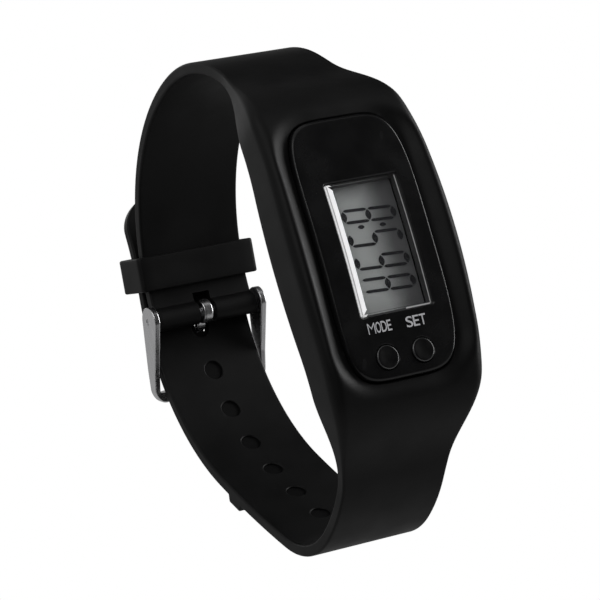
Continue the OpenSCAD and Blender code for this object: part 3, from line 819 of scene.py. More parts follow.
# Painted shade: the walls of the strap holes and the sheet that closes them are near black, standing in for
# the shade deep in the holes.
HOLE_PAINTED_SHADE = Moulded(
    "strap_hole_painted_shade", grey(0.0010, 0.0011), grey(0.0016, 0.0017), (0.6, 0.75), specular=0.12,
    grain=0.12, grain_height=0.003, patch=1.0)
SEAL = Moulded("seal_rubber", (0.10, 0.018, 0.018), (0.13, 0.025, 0.025), (0.45, 0.6), grain=0.15)
STEEL = Brushed("steel_satin", grey(0.74, 0.75), grey(0.60, 0.61), (0.20, 0.34), (1.0, 1.0, 0.06))
STEEL_ROUND = Brushed("steel_turned", grey(0.60, 0.61), grey(0.48, 0.49), (0.22, 0.36), (0.08, 1.0, 1.0))
LENS = Clear("window_clear", (0.97, 0.975, 0.975), 0.12)
COVER = Film("display_film", grey(0.06, 0.06), 0.04)
# The display ground: a pale tone with painted shade to the right and at the ends, and a painted glow.
PANEL_PAINTED_LIGHT = Panel("display_ground_painted_light", (0.50, 0.515, 0.51), grey(0.12, 0.124), (0.4, -0.2), (12.2, 20.3), 0.07)
BOARD = Laminate("board_green", (0.012, 0.075, 0.035), (0.03, 0.16, 0.07))

DRESSING = {
    TAPE: ("lens_tape",),
    PANEL_PAINTED_LIGHT: ("lcd_rear_glass", "rear_polariser"),
    HOLDER: ("lcd_holder",),
    CONTACT_RUBBER: ("zebra_strip",),
    BRASS: ("switch_domes", "positive_contact", "negative_contact"),
    BOARD: ("circuit_board",),
    EPOXY: ("chip_blob", "motion_sensor"),
    CERAMIC: ("chip_parts",),
    STEEL: ("quartz_crystal", "coin_cell", "case_screws"),
    BACK: ("back_cover", "battery_door"),
    SEAL: ("door_seal",),
    STEEL_ROUND: ("spring_bar_tube", "spring_bar_tip_left", "spring_bar_tip_right", "spring_bar_spring"),
}


def dress(piece: bpy.types.Object, *finishes: Finish, faces: np.ndarray | None = None) -> None:
    """Gives a piece its materials, in the order of its slots.

    Args:
        piece: The piece.
        finishes: The finishes.
        faces: The number of each face's finish, where they differ.
    """
    piece.data.materials.clear()
    for finish in finishes:
        piece.data.materials.append(finish.made())
    if faces is not None:
        piece.data.polygons.foreach_set("material_index", faces.astype(np.int32))


def placed(piece: bpy.types.Object, body: str, slot: str, *nodes: str) -> None:
    """Hands a finished piece to the frame and reports it.

    Args:
        piece: The piece.
        body: The body that it rides on.
        slot: The record's material slot; not used.
        nodes: CAD nodes that it stands for.
    """
    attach(piece, body)
    if nodes:
        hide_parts(*nodes)
    LOG.info("%s on %s: %d faces", piece.name, body, len(piece.data.polygons))


# Band


@dataclass(frozen=True)
class StrapLine:
    """Inner line of one side of the closed band: a flat run behind the display, arcs and a straight end.

    Each arc is a radius and a sweep in degrees. Along an arc of radius r from heading a to b, y grows by
    r (cos a - cos b) and the reach along Z by r (sin b - sin a).
    """

    end: End
    flat: float
    arcs: tuple[Pair, ...]
    start_y: float = -2.4

    @property
    def length(self) -> float:
        """Length up to the end of the last arc."""
        return self.flat + sum(r * math.radians(a) for r, a in self.arcs)

    def at(self, s: np.ndarray) -> tuple[np.ndarray, np.ndarray, np.ndarray]:
        """Places along the line.

        Args:
            s: Distances from the middle of the display.

        Returns:
            y, z and heading in radians, where heading 0 runs away from the flat along Z.
        """
        y, z, heading = np.full_like(s, self.start_y), np.minimum(s, self.flat), np.zeros_like(s)
        at_s, at_y, at_z, a = self.flat, self.start_y, self.flat, 0.0
        for r, sweep in self.arcs:
            b = a + math.radians(sweep)
            on = s > at_s
            h = a + np.clip(s - at_s, 0, r * math.radians(sweep)) / r
            y = np.where(on, at_y + r * (math.cos(a) - np.cos(h)), y)
            z = np.where(on, at_z + r * (np.sin(h) - math.sin(a)), z)
            heading = np.where(on, h, heading)
            at_y, at_z = at_y + r * (math.cos(a) - math.cos(b)), at_z + r * (math.sin(b) - math.sin(a))
            at_s, a = at_s + r * math.radians(sweep), b
        past = np.maximum(s - at_s, 0)
        return y + past * math.sin(a), (z + past * math.cos(a)) * self.end.value, heading

    def lifted(self, s: np.ndarray, n: np.ndarray) -> tuple[np.ndarray, np.ndarray]:
        """y and z at a height n outwards from the line: its place plus n (-cos heading, end sin heading)."""
        y, z, heading = self.at(s)
        return y - n * np.cos(heading), z + n * self.end.value * np.sin(heading)


@dataclass
class Band:
    """One-piece silicone band: the sleeve round the module, the short strap's rolled end, and the tail."""

    strap_w: float = 18.0
    strap_t: float = 1.8
    sleeve_w: float = 28.0
    sleeve_t: float = 8.0
    crown_r: float = 146.0
    bow_r: float = 187.0
    thin: Pair = (19.9, 32.5)
    narrow: Pair = (18.8, 35.8)
    barrel_r: float = 1.9
    barrel_lift: float = 0.63
    barrel_soft: Pair = (0.5, 0.3)
    bore_d: float = 1.9
    notch: Pair = (3.0, 3.2)
    notch_room: Pair = (3.8, 2.1)
    hole_d: float = 3.1
    hole_pitch: float = 7.5
    hole_count: int = 9
    hole_round: float = 0.18
    mouth_depth: float = 0.15
    used_hole: int = 3
    used_below_bar: float = 2.0
    # Levels of the sheet that closes each strap hole, put there so that the hole shows painted shade.
    shade_sheet: Pair = (0.30, 0.50)
    slot_half: float = 0.84
    slot_along: Pair = (-0.65, 0.95)
    pad_len: float = 3.5
    pad_rise: float = 1.1
    pad_ramp: float = 0.6
    pad_holes: float = 4.5
    tip_round: float = 0.72
    flank_r: float = 1.8
    flank_lead: float = 3.0
    strap_r: float = 0.35
    lip_u: float = 8.97
    lip_fall: float = 1.37
    lip_width: float = 3.0
    lip_inside: Pair = (3.85, 14.05)
    lip_r: float = 6.0
    lip_end: float = 27.0
    step_room: Pair = (21.7, 42.1)
    step_u: float = 6.15
    face_room: Pair = (19.7, 40.1)
    mouth_r: float = 0.3
    crease: float = 40.0

    def __post_init__(self) -> None:
        """Lays out the two lines and what hangs on them."""
        self.short = StrapLine(End.SHORT, 11.6, ((26, 46), (22, 49), (30, 87.5)))
        self.tail = StrapLine(End.TAIL, 12.7, ((26.5, 68), (13, 57.5), (170, 7), (33.5, 60.5), (-46, -22)))
        end_y, end_z, _ = self.short.at(np.array([self.short.length]))
        self.bar = (float(end_y[0]) + self.barrel_lift, float(end_z[0]))
        back = self.tail.length - 0.1 * np.arange(500)
        self.used_at = float(back[np.argmax(self.tail.at(back)[1] <= self.bar[1] - self.used_below_bar)])
        self.pad_at = self.used_at - self.pad_holes * self.hole_pitch

    def lip(self, z: np.ndarray) -> np.ndarray:
        """Level of the sleeve where it meets the module: lip_u - lip_fall (z / 20)^2."""
        return self.lip_u - self.lip_fall * (z / 20.0) ** 2

    def thickness(self, s: np.ndarray) -> np.ndarray:
        """Thickness: the strap's, plus the sleeve's crowned extra until thin ends."""
        extra = self.sleeve_t - s * s / (2 * self.crown_r) - self.strap_t
        return self.strap_t + extra * (1 - ease((s - self.thin[0]) / (self.thin[1] - self.thin[0])))

    def half_width(self, s: np.ndarray) -> np.ndarray:
        """Half width: the strap's, plus the sleeve's bowed extra until narrow ends."""
        extra = (self.sleeve_w - self.strap_w) / 2 - s * s / (2 * self.bow_r)
        return self.strap_w / 2 + extra * (1 - ease((s - self.narrow[0]) / (self.narrow[1] - self.narrow[0])))

    def barrel(self, s: np.ndarray) -> np.ndarray:
        """Half height of the rolled end: sqrt(r^2 - d^2) at a distance d from the bar, below 0 past it."""
        d = s - self.short.length
        return np.sqrt(np.maximum(self.barrel_r**2 - d * d, 0)) - 4 * np.maximum(np.abs(d) - self.barrel_r, 0)

    def rows(self, line: StrapLine, s: np.ndarray) -> np.ndarray:
        """Cross-sections of the band along one line.

        The outline is a rounded section whose high side dips to the lip around the module, rises over the pad
        and swells into the rolled end, and whose width closes in an ellipse at the tail's tip.

        Args:
            line: The inner line.
            s: Distances along it.

        Returns:
            Points (rows, columns, 3).
        """
        half, high, low = self.half_width(s), self.thickness(s), np.zeros_like(s)
        lead = self.flank_lead - self.thin[0]
        share = 1 - ease((s + lead) / (self.thin[1] + lead))
        round_high = self.strap_r + (self.flank_r - self.strap_r) * share
        if line.end is End.SHORT:
            past, swell = s > line.length, self.barrel(s)
            over, under = self.barrel_lift + swell, swell - self.barrel_lift
            high = np.where(past, over, smooth_max(high, over, self.barrel_soft[0]))
            low = np.where(past, -under, -smooth_max(low, under, self.barrel_soft[1]))
        else:
            near = (self.pad_len / 2 + 0.25 - np.abs(s - self.pad_at)) / self.pad_ramp
            high = high + self.pad_rise * ease(near)
            reach = self.strap_w / 2 * self.tip_round
            past = np.clip((s - line.length + reach) / reach, 0, 1)
            half = half * np.sqrt(1 - past * past)
        outline = section(half, low, high, self.strap_r, round_high, flat=56, bend=9, rise=8)
        across, lift = outline[..., 0], outline[..., 1]
        column = np.broadcast_to(s[:, None], across.shape)
        y, z = line.lifted(column, lift)
        beyond = (np.maximum(np.abs(v) - half, 0) for v, half in zip((across, z), self.lip_inside))
        gap = np.hypot(*beyond) - self.lip_r
        front = (lift > 0.5 * high[:, None]) & (column < self.lip_end)
        drop = np.maximum(-y - self.lip(z), 0) * (1 - ease(gap / self.lip_width))
        y, z = line.lifted(column, lift - np.where(front, drop, 0))
        return np.stack([across, y, z], axis=-1)

    def pocket(self) -> Shell:
        """Room for the module: the step for its flange, the face's opening, and a rounded mouth at the lip.

        Returns:
            The surface to cut.
        """
        wide, face = squircle(*self.step_room), squircle(*self.face_room)
        rings = [(wide, -3.0), (wide, 2.0), (wide, self.step_u), (face, self.step_u)]
        reach = face / np.hypot(*face.T)[:, None]
        level = self.lip(face[:, 1])
        for angle in np.radians([0, 20, 40, 58, 75]):
            out = self.mouth_r * (1 - math.cos(angle))
            rings.append((face + reach * out, level - self.mouth_r + self.mouth_r * math.sin(angle)))
        rings.append((rings[-1][0], level + 3.0))
        return stacked(rings)

    def on_tail(self, s: float, across: np.ndarray, along: np.ndarray, out: np.ndarray) -> np.ndarray:
        """Points by their place round a spot of the tail.

        Args:
            s: Distance of the spot along the tail.
            across: Distances across the strap.
            along: Distances back towards the module.
            out: Heights over the inner side.

        Returns:
            Points with X, Y and Z last.
        """
        y, z, heading = (float(v[0]) for v in self.tail.at(np.array([s])))
        back = y + along * math.sin(heading) - out * math.cos(heading)
        return np.stack([across, back, z - along * math.cos(heading) - out * math.sin(heading)], axis=-1)

    def strap_hole(self, s: float) -> Shell:
        """A round hole through the tail with rounded mouths, closed by a thin sheet near the inner side, so
        that it reads as a dark recess under its painted shade.

        Args:
            s: Its distance along the tail.

        Returns:
            The surface to cut: the room on both sides of the sheet.
        """
        a, bore = angles(48, 0.0), self.hole_d / 2
        turn = np.radians([80, 60, 40, 20, 0])
        mouth = bore + self.hole_round * (1 - np.cos(turn))
        depth = self.hole_round - self.hole_round * np.sin(turn)
        low = [(mouth[0], -1.0), *zip(mouth, depth)]
        high = [(r, self.strap_t - n) for r, n in reversed(low)]
        rooms = []
        for run in (low + [(bore, self.shade_sheet[0])], [(bore, self.shade_sheet[1])] + high):
            r, n = (np.array(v)[:, None] for v in zip(*run))
            rooms.append(woven(self.on_tail(s, r * np.cos(a), r * np.sin(a), n + 0 * a)))
        return rooms[0] + rooms[1]

    def tongue_slot(self) -> Shell:
        """The slot in the used hole's sheet, through which the tongue passes.

        Returns:
            The surface to cut.
        """
        half, (back, ahead) = self.slot_half, self.slot_along
        across = np.broadcast_to([half, -half, -half, half], (2, 4))
        along = np.broadcast_to([ahead, ahead, back, back], (2, 4))
        out = np.array([[self.shade_sheet[0] - 0.1], [self.shade_sheet[1] + 0.1]]) + np.zeros((2, 4))
        return woven(self.on_tail(self.used_at, across, along, out))

    def in_holes(self, piece: bpy.types.Object, places: list[float]) -> np.ndarray:
        """Which faces lie inside the strap holes, which take the painted shade.

        A face is inside when its middle is within the bore's radius of a hole's axis and between the mouths.

        Args:
            piece: The band.
            places: Distances of the holes along the tail.

        Returns:
            True for each face inside.
        """
        x, y, z = middles(piece)
        inside = np.zeros(len(x), bool)
        for at_y, at_z, h in zip(*self.tail.at(np.array(places))):
            out = -(y - at_y) * math.cos(h) - (z - at_z) * math.sin(h)
            along = (y - at_y) * math.sin(h) - (z - at_z) * math.cos(h)
            between = (out > self.mouth_depth) & (out < self.strap_t - self.mouth_depth)
            inside |= between & (np.hypot(x, along) < self.hole_d / 2 + 0.02)
        return inside

    def build(self) -> None:
        """Builds, cuts and dresses the band: rows close together where the form turns fast."""
        reach = self.strap_w / 2 * self.tip_round
        closing = np.sin(np.radians(np.linspace(2, 88.5, 22)))
        head = np.arange(0.25, 34, 0.5)
        short = np.concatenate([
            head, np.arange(34.3, self.short.length - 3.2, 1.0), self.short.length + np.arange(-3, -0.1, 0.2),
            self.short.length + self.barrel_r * closing,
        ])
        flat_end = self.tail.length - reach
        tail = np.concatenate([
            head, np.arange(34.3, self.pad_at - 3, 0.9), self.pad_at + np.arange(-2.9, 3, 0.15),
            np.arange(self.pad_at + 3.5, flat_end - 0.3, 0.9), flat_end + reach * closing,
        ])
        grid = np.concatenate([self.rows(self.short, short)[::-1], self.rows(self.tail, tail)])
        piece = woven(grid).made("band_silicone", self.crease)
        bar_y, bar_z = self.bar
        (width, beyond), (below, over) = self.notch, self.notch_room
        notch = box((-width / 2, bar_y - below, bar_z - below), (width / 2, bar_y + over, bar_z + beyond))
        rod = rounded_rectangle(self.bore_d / 2, self.bore_d / 2, self.bore_d / 2 - 1e-3, 1, 12)
        rod = rod + (bar_y, bar_z)
        ends = [np.concatenate([np.full((len(rod), 1), x), rod], axis=1) for x in (-12.0, 12.0)]
        carve(piece, self.pocket(), notch, woven(np.stack(ends)), crease=self.crease)
        places = [self.used_at + (self.used_hole - 1 - i) * self.hole_pitch for i in range(self.hole_count)]
        holes = [self.strap_hole(s) for s in places]
        carve(piece, sum(holes[1:], holes[0]), self.tongue_slot(), crease=self.crease)
        # The faces inside the holes get the painted shade.
        dress(piece, SILICONE, HOLE_PAINTED_SHADE, faces=self.in_holes(piece, places))
        placed(piece, "band", "silicone", "silicone_band")


@dataclass
class Keeper:
    """The loop that holds the end of the tail: a rounded frame round both straps."""

    band: Band
    length: float = 5.6
    wall: float = 1.15
    gap: float = 0.5
    room: float = 5.4
    clear: float = 0.35
    from_bar: float = 7.6
    inner_r: float = 0.3
    outer_r: float = 0.7

    def build(self) -> None:
        """Builds the loop: outlines from the inner to the outer frame, carried round a rounded section."""
        half_x = self.band.strap_w / 2 + self.gap
        inner = rounded_rectangle(half_x, self.room / 2, self.inner_r, 10)
        outer = rounded_rectangle(half_x + self.wall, self.room / 2 + self.wall, self.outer_r, 10)
        ring = rounded_rectangle(self.wall / 2, self.length / 2, self.inner_r, 6, 5)
        share = (ring[:, 0] / self.wall + 0.5)[:, None, None]
        flat = inner + share * (outer - inner)
        along = np.broadcast_to(ring[:, 1][:, None], flat.shape[:2])
        out = flat[..., 1] + self.room / 2 - self.clear
        place = self.band.short.at(np.array([self.band.short.length - self.from_bar]))
        y, z, h = (float(v[0]) for v in place)
        y, z = y - out * math.cos(h) + along * math.sin(h), z + out * math.sin(h) + along * math.cos(h)
        grid = np.stack([flat[..., 0], y, z], axis=-1)
        piece = woven(grid, ring=True).made("keeper_silicone")
        dress(piece, SILICONE)
        placed(piece, "keeper", "silicone", "keeper_loop")


@dataclass
class Buckle:
    """Steel tang buckle: a bent frame of two tapered cheeks and a cross-bar, and the tongue round the bar.

    Its own axes have the spring bar at the origin, Y outwards and -Z down to the cross-bar, and they lean.
    """

    band: Band
    lean: float = 21.0
    length: float = 12.9
    ear_r: float = 2.4
    ear_back: float = 0.3
    waist_r: float = 1.3
    waist_at: Pair = (0.75, -8.3)
    inner_x: float = 9.35
    cheek_t: float = 1.0
    bar_t: float = 1.6
    bar_w: float = 1.8
    bar_in: float = 0.1
    bend_r: float = 1.5
    edge_r: float = 0.22
    groove: float = 0.35
    tongue_w: float = 1.6
    tongue_t: float = 1.0
    tongue_r: float = 0.25
    loop_r: float = 0.95
    pin_d: float = 1.0
    tongue_points: tuple[Pair, ...] = (
        (1.45, -0.05), (1.52, -1.25), (1.95, -2.6), (2.8, -3.5), (3.8, -4.3), (4.3, -5.2), (4.1, -6.2),
        (2.15, -11.1), (1.9, -12.0), (1.9, -13.9))

    def turned_to_row(self, x: np.ndarray, y: np.ndarray, z: np.ndarray) -> np.ndarray:
        """Turns points in the buckle's axes to the row's.

        Args:
            x: Across.
            y: Outwards.
            z: Up the buckle.

        Returns:
            Points with X, Y and Z last.
        """
        c, s = math.cos(math.radians(self.lean)), math.sin(math.radians(self.lean))
        x, y, z = np.broadcast_arrays(x, y, z)
        return np.stack([x, self.band.bar[0] + y * c - z * s, self.band.bar[1] + y * s + z * c], axis=-1)

    def span(self, z: np.ndarray) -> tuple[np.ndarray, np.ndarray]:
        """Inner and outer side of the frame's side view at each height.

        The ear is a circle. Below it the middle and the half depth run straight to the waist and the bar.

        Args:
            z: Heights, from the ear's top down.

        Returns:
            The lowest and the highest y.
        """
        knots = np.array([-self.length - 0.9, -self.length + 0.7, self.waist_at[1], 0.0])
        bar = self.bar_in + self.bar_t / 2
        middle = np.interp(z, knots, [bar, bar, self.waist_at[0], -self.ear_back])
        half = np.interp(z, knots, [self.bar_t / 2, self.bar_t / 2, self.waist_r, self.ear_r])
        ear = z > 0
        half = np.where(ear, np.sqrt(np.maximum(self.ear_r**2 - z * z, 1e-4)), half)
        middle = np.where(ear, -self.ear_back, middle)
        return middle - half, middle + half

    def frame(self) -> None:
        """Builds the frame: a rounded strip carried down one cheek, round a bend, along the bar and back up.

        The path is a line in X and Z with two quarter circles, and the strip is as deep as the side view.
        """
        mid_x, low = self.inner_x + self.cheek_t / 2, -self.length
        ear = self.ear_r * np.cos(np.linspace(0.05, np.pi / 2, 22))
        drop = np.concatenate([ear, np.linspace(-0.2, low + self.bend_r + 0.1, 60)])
        leg = np.stack([np.full_like(drop, -mid_x), drop, np.zeros_like(drop)], axis=-1)
        turn = np.linspace(0, np.pi / 2, 16)
        round_x, round_z = self.bend_r * (1 - np.cos(turn)), self.bend_r * (1 - np.sin(turn))
        bend = np.stack([-mid_x + round_x, low + round_z, turn], axis=-1)
        x = np.linspace(-mid_x + self.bend_r + 0.2, mid_x - self.bend_r - 0.2, 61)
        bar = np.stack([x, np.full_like(x, low), np.full_like(x, np.pi / 2)], axis=-1)
        far = np.concatenate([leg, bend])[::-1] * (-1, 1, -1) + (0, 0, np.pi)
        path = np.concatenate([leg, bend, bar, far])
        inner, outer = self.span(path[:, 1])
        beside = (np.abs(path[:, 0]) - self.tongue_w / 2 - 0.2) / 0.35
        groove = self.groove * (1 - ease(beside)) * (path[:, 1] <= low + 1e-6)
        thick = self.cheek_t + (self.bar_w - self.cheek_t) * np.sin(path[:, 2]) ** 4
        outline = section(thick / 2, inner, outer - groove, self.edge_r, self.edge_r, flat=7, bend=6, rise=12)
        across, depth = outline[..., 0], outline[..., 1]
        x, z, heading = (v[:, None] for v in path.T)
        grid = self.turned_to_row(x + across * np.cos(heading), depth, z + across * np.sin(heading))
        piece = woven(grid).made("buckle_steel")
        a = angles(40, 0.0)
        across, up = self.pin_d / 2 * np.cos(a), self.pin_d / 2 * np.sin(a)
        carve(piece, woven(np.stack([self.turned_to_row(x, across, up) for x in (-14.0, 14.0)])))
        dress(piece, STEEL)
        placed(piece, "buckle", "steel", "buckle_frame")

    def tongue(self) -> None:
        """Builds the tongue: a rounded strip carried once round the bar and then along its bent path.

        The path is a circle of the loop's middle radius, then a curve through the tongue's points whose slope
        at each is the mean of its two chords.
        """
        a = np.radians(np.linspace(300, 4, 60))
        loop = (self.loop_r + self.tongue_t / 2) * np.stack([np.cos(a), np.sin(a)], axis=-1)
        p = np.array(self.tongue_points)
        reach = np.concatenate([[0], np.cumsum(np.hypot(*np.diff(p, axis=0).T))])
        slope = np.gradient(p, reach, axis=0)
        t = np.linspace(0, reach[-1], 90)[1:]
        k = np.clip(np.searchsorted(reach, t) - 1, 0, len(p) - 2)
        span = (reach[k + 1] - reach[k])[:, None]
        u = ((t - reach[k])[:, None]) / span
        curve = (
            (2 * u**3 - 3 * u**2 + 1) * p[k] + (u**3 - 2 * u**2 + u) * span * slope[k]
            + (3 * u**2 - 2 * u**3) * p[k + 1] + (u**3 - u**2) * span * slope[k + 1])
        path = np.concatenate([loop, curve])
        ahead = np.gradient(path, axis=0)
        ahead /= np.hypot(*ahead.T)[:, None]
        normal = np.stack([-ahead[:, 1], ahead[:, 0]], axis=-1)
        left = np.concatenate([[0], np.cumsum(np.hypot(*np.diff(path, axis=0).T))])
        left = left[-1] - left
        half = self.tongue_w / 2 * np.sqrt(1 - np.clip(1 - left / 0.5, 0, 0.97) ** 2)
        side = np.full(len(path), self.tongue_t / 2)
        outline = section(half, -side, side, self.tongue_r, self.tongue_r, flat=7, bend=6)
        out = path[:, None] + outline[..., 1:] * normal[:, None]
        piece = woven(self.turned_to_row(outline[..., 0], out[..., 0], out[..., 1])).made("tongue_steel")
        dress(piece, STEEL)
        placed(piece, "tongue", "steel", "buckle_tongue")


# Module


@dataclass
class Module:
    """The display module: black case, window, display, labels and two push buttons."""

    face_w: float = 19.4
    face_len: float = 39.8
    body_w: float = 21.4
    body_len: float = 41.8
    thick: float = 9.75
    crown_r: float = 146.0
    flange_u: float = 6.0
    flange_edge: float = 0.2
    collar_u: float = 7.2
    wall: float = 1.2
    back_t: float = 1.2
    board_u: float = 5.4
    film_u: float = 7.647
    tape_u: float = 8.247
    window: Pair = (12.2, 20.3)
    window_at: Pair = (0.4, -0.2)
    window_sink: float = 0.15
    ledge: float = 0.6
    # Where the painted highlights lie on the window's bevels, from its left and right sides, and the duller
    # stripe in the left one.
    highlight_from: float = 0.15
    highlight_width: float = 1.15
    right_highlight_width: float = 0.25
    stripe: Pair = (0.3, 0.42)
    cover_u: float = 6.947
    ink_u: float = 6.94
    digit_x: Triple = (-2.83, 1.25, 5.5)
    digit_z: tuple[float, float, float, float] = (4.78, 1.22, -2.27, -5.70)
    digit_half: float = 0.89
    digit_lean: float = 0.055
    colon_z: float = 3.05
    button_at: Pair = (3.025, -16.6)
    button_d: float = 3.6
    button_gap: float = 0.08
    button_top: float = 9.056
    button_edge: float = 0.28
    button_dish: float = 0.07
    button_stem: tuple[Pair, ...] = (
        (0, 5.75), (0.9, 5.75), (1.0, 5.85), (1.0, 6.72), (2.25, 6.75), (2.3, 6.8), (2.3, 7.26), (2.25, 7.3))
    hole_round: float = 0.2
    hole_step_u: float = 7.33
    edge_r: float = 0.6
    print_t: float = 0.012
    letter_gap: float = 0.09
    crease: float = 32.0

    def top(self, z: np.ndarray) -> np.ndarray:
        """Level of the crowned face: thick - z^2 / (2 crown_r)."""
        return self.thick - z * z / (2 * self.crown_r)

    def button_centre(self, side: Side) -> Pair:
        """Place of a button in X and Z."""
        return (side.value * self.button_at[0], self.button_at[1])

    def window_line(self, grow: float | Pair, corner: float, flat: int = 8, bend: int = 6) -> np.ndarray:
        """The window's outline, larger by a distance on each side.

        Args:
            grow: The distance, or one along X and one along Z.
            corner: Radius of its corners.
            flat: Points on each side.
            bend: Points on each corner.

        Returns:
            Points in X and Z.
        """
        half = np.array(self.window) / 2 + grow
        return rounded_rectangle(*half, corner, flat, bend) + self.window_at

    def case(self) -> None:
        """Builds the case: a flanged body, whose face rounds over at its edge and is crowned along Z."""
        body, face = squircle(self.body_w, self.body_len), squircle(self.face_w, self.face_len)
        small = squircle(self.body_w - 2 * self.flange_edge, self.body_len - 2 * self.flange_edge)
        rings = [
            (small, self.back_t), (body, self.back_t + self.flange_edge),
            (body, self.flange_u - self.flange_edge), (small, self.flange_u),
            (face, self.flange_u + 0.02), (face, self.collar_u),
        ]
        reach = face / np.hypot(*face.T)[:, None]
        for angle in np.radians(np.linspace(0, 86, 9)):
            outline = face - reach * self.edge_r * (1 - math.cos(angle))
            rings.append((outline, self.top(outline[:, 1]) - self.edge_r * (1 - math.sin(angle))))
        inner = rings[-1][0]
        rings += [(inner * share, self.top(inner[:, 1] * share)) for share in np.linspace(0.98, 0.02, 49)]
        piece = stacked(rings).made("case_plastic", self.crease)
        cavity = squircle(self.body_w - 2 * self.wall, self.body_len - 2 * self.wall)
        room = squircle(self.face_w - 2 * self.wall, self.face_len - 2 * self.wall)
        opening = self.window_line(-self.ledge, 0.3)
        low, wide = self.window_line(0.05, 0.35), self.window_line(0.25, 0.55)
        level = self.top(low[:, 1])
        carve(
            piece, stacked([(cavity, 0.5), (cavity, self.board_u)]),
            stacked([(room, self.board_u - 0.1), (room, self.film_u)]),
            stacked([(opening, self.flange_u), (opening, 2 * self.flange_u)]),
            stacked([(low, self.tape_u - 0.1), (low, level - 0.2), (wide, level + 0.001), (wide, level + 2)]),
            *(self.button_hole(self.button_centre(side)) for side in Side), crease=self.crease)
        dress(piece, CASE)
        placed(piece, "tracker_module", "case_plastic", "front_case")

    def button_hole(self, centre: Pair) -> Shell:
        """The space round a button, whose mouth is rounded and follows the crowned face.

        Args:
            centre: Place of the button in X and Z.

        Returns:
            The closed surface.
        """
        radius, soft = self.button_d / 2 + self.button_gap, self.hole_round
        room, bore = circle(centre, radius + 0.5), circle(centre, radius)
        rings = [(room, 5.0), (room, self.hole_step_u), (bore, self.hole_step_u)]
        for angle in np.radians([0, 18, 36, 54]):
            outline = circle(centre, radius + soft * (1 - math.cos(angle)))
            rings.append((outline, self.top(outline[:, 1]) - soft * (1 - math.sin(angle))))
        wide = circle(centre, radius + 0.9 * soft)
        return stacked(rings + [(wide, self.top(wide[:, 1]) + 0.03), (wide, self.top(wide[:, 1]) + 1.0)])

    def lens(self) -> None:
        """Builds the window: a clear plate crowned like the face, with painted highlights on its bevels.

        Faces of the bevel get a bright painted highlight with a painted glow on the left, apart from a duller
        stripe. A duller painted highlight lies on a thin line at the right and along the right part of the
        foot.
        """
        grown = lambda grow, corner: self.window_line(grow, corner, 16, 5)
        face = lambda outline: self.top(outline[:, 1]) - self.window_sink
        edge, mid, rim, top = grown(0, 0.3), grown(-0.12, 0.25), grown(-0.3, 0.2), grown(-0.42, 0.15)
        rings = [
            (grown(-0.05, 0.28), self.tape_u), (edge, self.tape_u + 0.05), (edge, face(edge) - 0.42),
            (mid, face(mid) - 0.30), (rim, face(rim) - 0.17), (top, face(top)),
        ]
        inner = grown(-self.highlight_width, 0.1) - self.window_at
        for share in (1.0, 0.85, 0.7, 0.5, 0.3, 0.15):
            outline = inner * share + self.window_at
            rings.append((outline, face(outline)))
        piece = stacked(rings).made("window_clear", 20)
        # Masks of the painted highlights on the bevels: the left band with its duller stripe, the right line
        # and the right part of the foot.
        x, y, z = middles(piece)
        below = self.top(z) - self.window_sink + y
        from_left, from_right = x - self.window_at[0] + np.array([[1], [-1]]) * self.window[0] / 2
        from_foot = z - self.window_at[1] + self.window[1] / 2
        bevel = (np.abs(z - self.window_at[1]) < self.window[1] / 2 - 0.2) & (below < 0.45)
        left = bevel & (from_left < self.highlight_width) & (from_left > self.highlight_from)
        stripe = left & (from_left > self.stripe[0]) & (from_left < self.stripe[1])
        right = bevel & (from_right > -self.right_highlight_width)
        right |= (from_foot < 0.3) & (x - self.window_at[0] > 1.8) & (below < 0.35)
        # Slot 2, the bright painted highlight, goes on the left bevel. Slot 1, the duller one, goes on its
        # stripe, the right line and the foot.
        dress(piece, LENS, LENS_DULL_HIGHLIGHT, LENS_BRIGHT_HIGHLIGHT, faces=right + 2 * left - stripe)
        placed(piece, "tracker_module", "window", "window_lens")

    def cover(self) -> None:
        """Builds the clear front of the display: glass and film as one plate with eased edges."""
        low, high = self.cover_u, self.film_u
        wide, small = self.window_line((1.2, 1.0), 0.2), self.window_line((1.15, 0.95), 0.18)
        rings = [(small, low + 0.01), (wide, low + 0.06), (wide, high - 0.06), (small, high - 0.01)]
        piece = stacked(rings).made("display_cover")
        dress(piece, COVER)
        placed(piece, "tracker_module", "display_glass", "lcd_front_glass", "front_polariser")

    def stroke(self, at: Pair, size: Pair, point: float) -> Shell:
        """One leaning stroke of a digit: half width w (1 - |t|^p) along it for t from -1 to 1.

        Args:
            at: Its middle in X and Z.
            size: Its sizes along X and Z.
            point: The exponent p: low for a lens shape, high for a bar with short points.

        Returns:
            The closed surface.
        """
        t = np.concatenate([np.linspace(-1, 1, 25), np.linspace(1, -1, 25)[1:-1]])
        side = np.where(np.arange(len(t)) < 25, 1.0, -1.0)
        half = side * min(size) / 2 * (1 - np.abs(t) ** point)
        run = t * max(size) / 2
        x, z = (run, half) if size[0] > size[1] else (half, run)
        x = at[0] + x
        z = at[1] + z - self.digit_lean * (x - self.digit_x[1])
        outline = np.stack([x, z], axis=-1)
        return stacked([(outline, self.ink_u - 0.03), (outline, self.ink_u)])

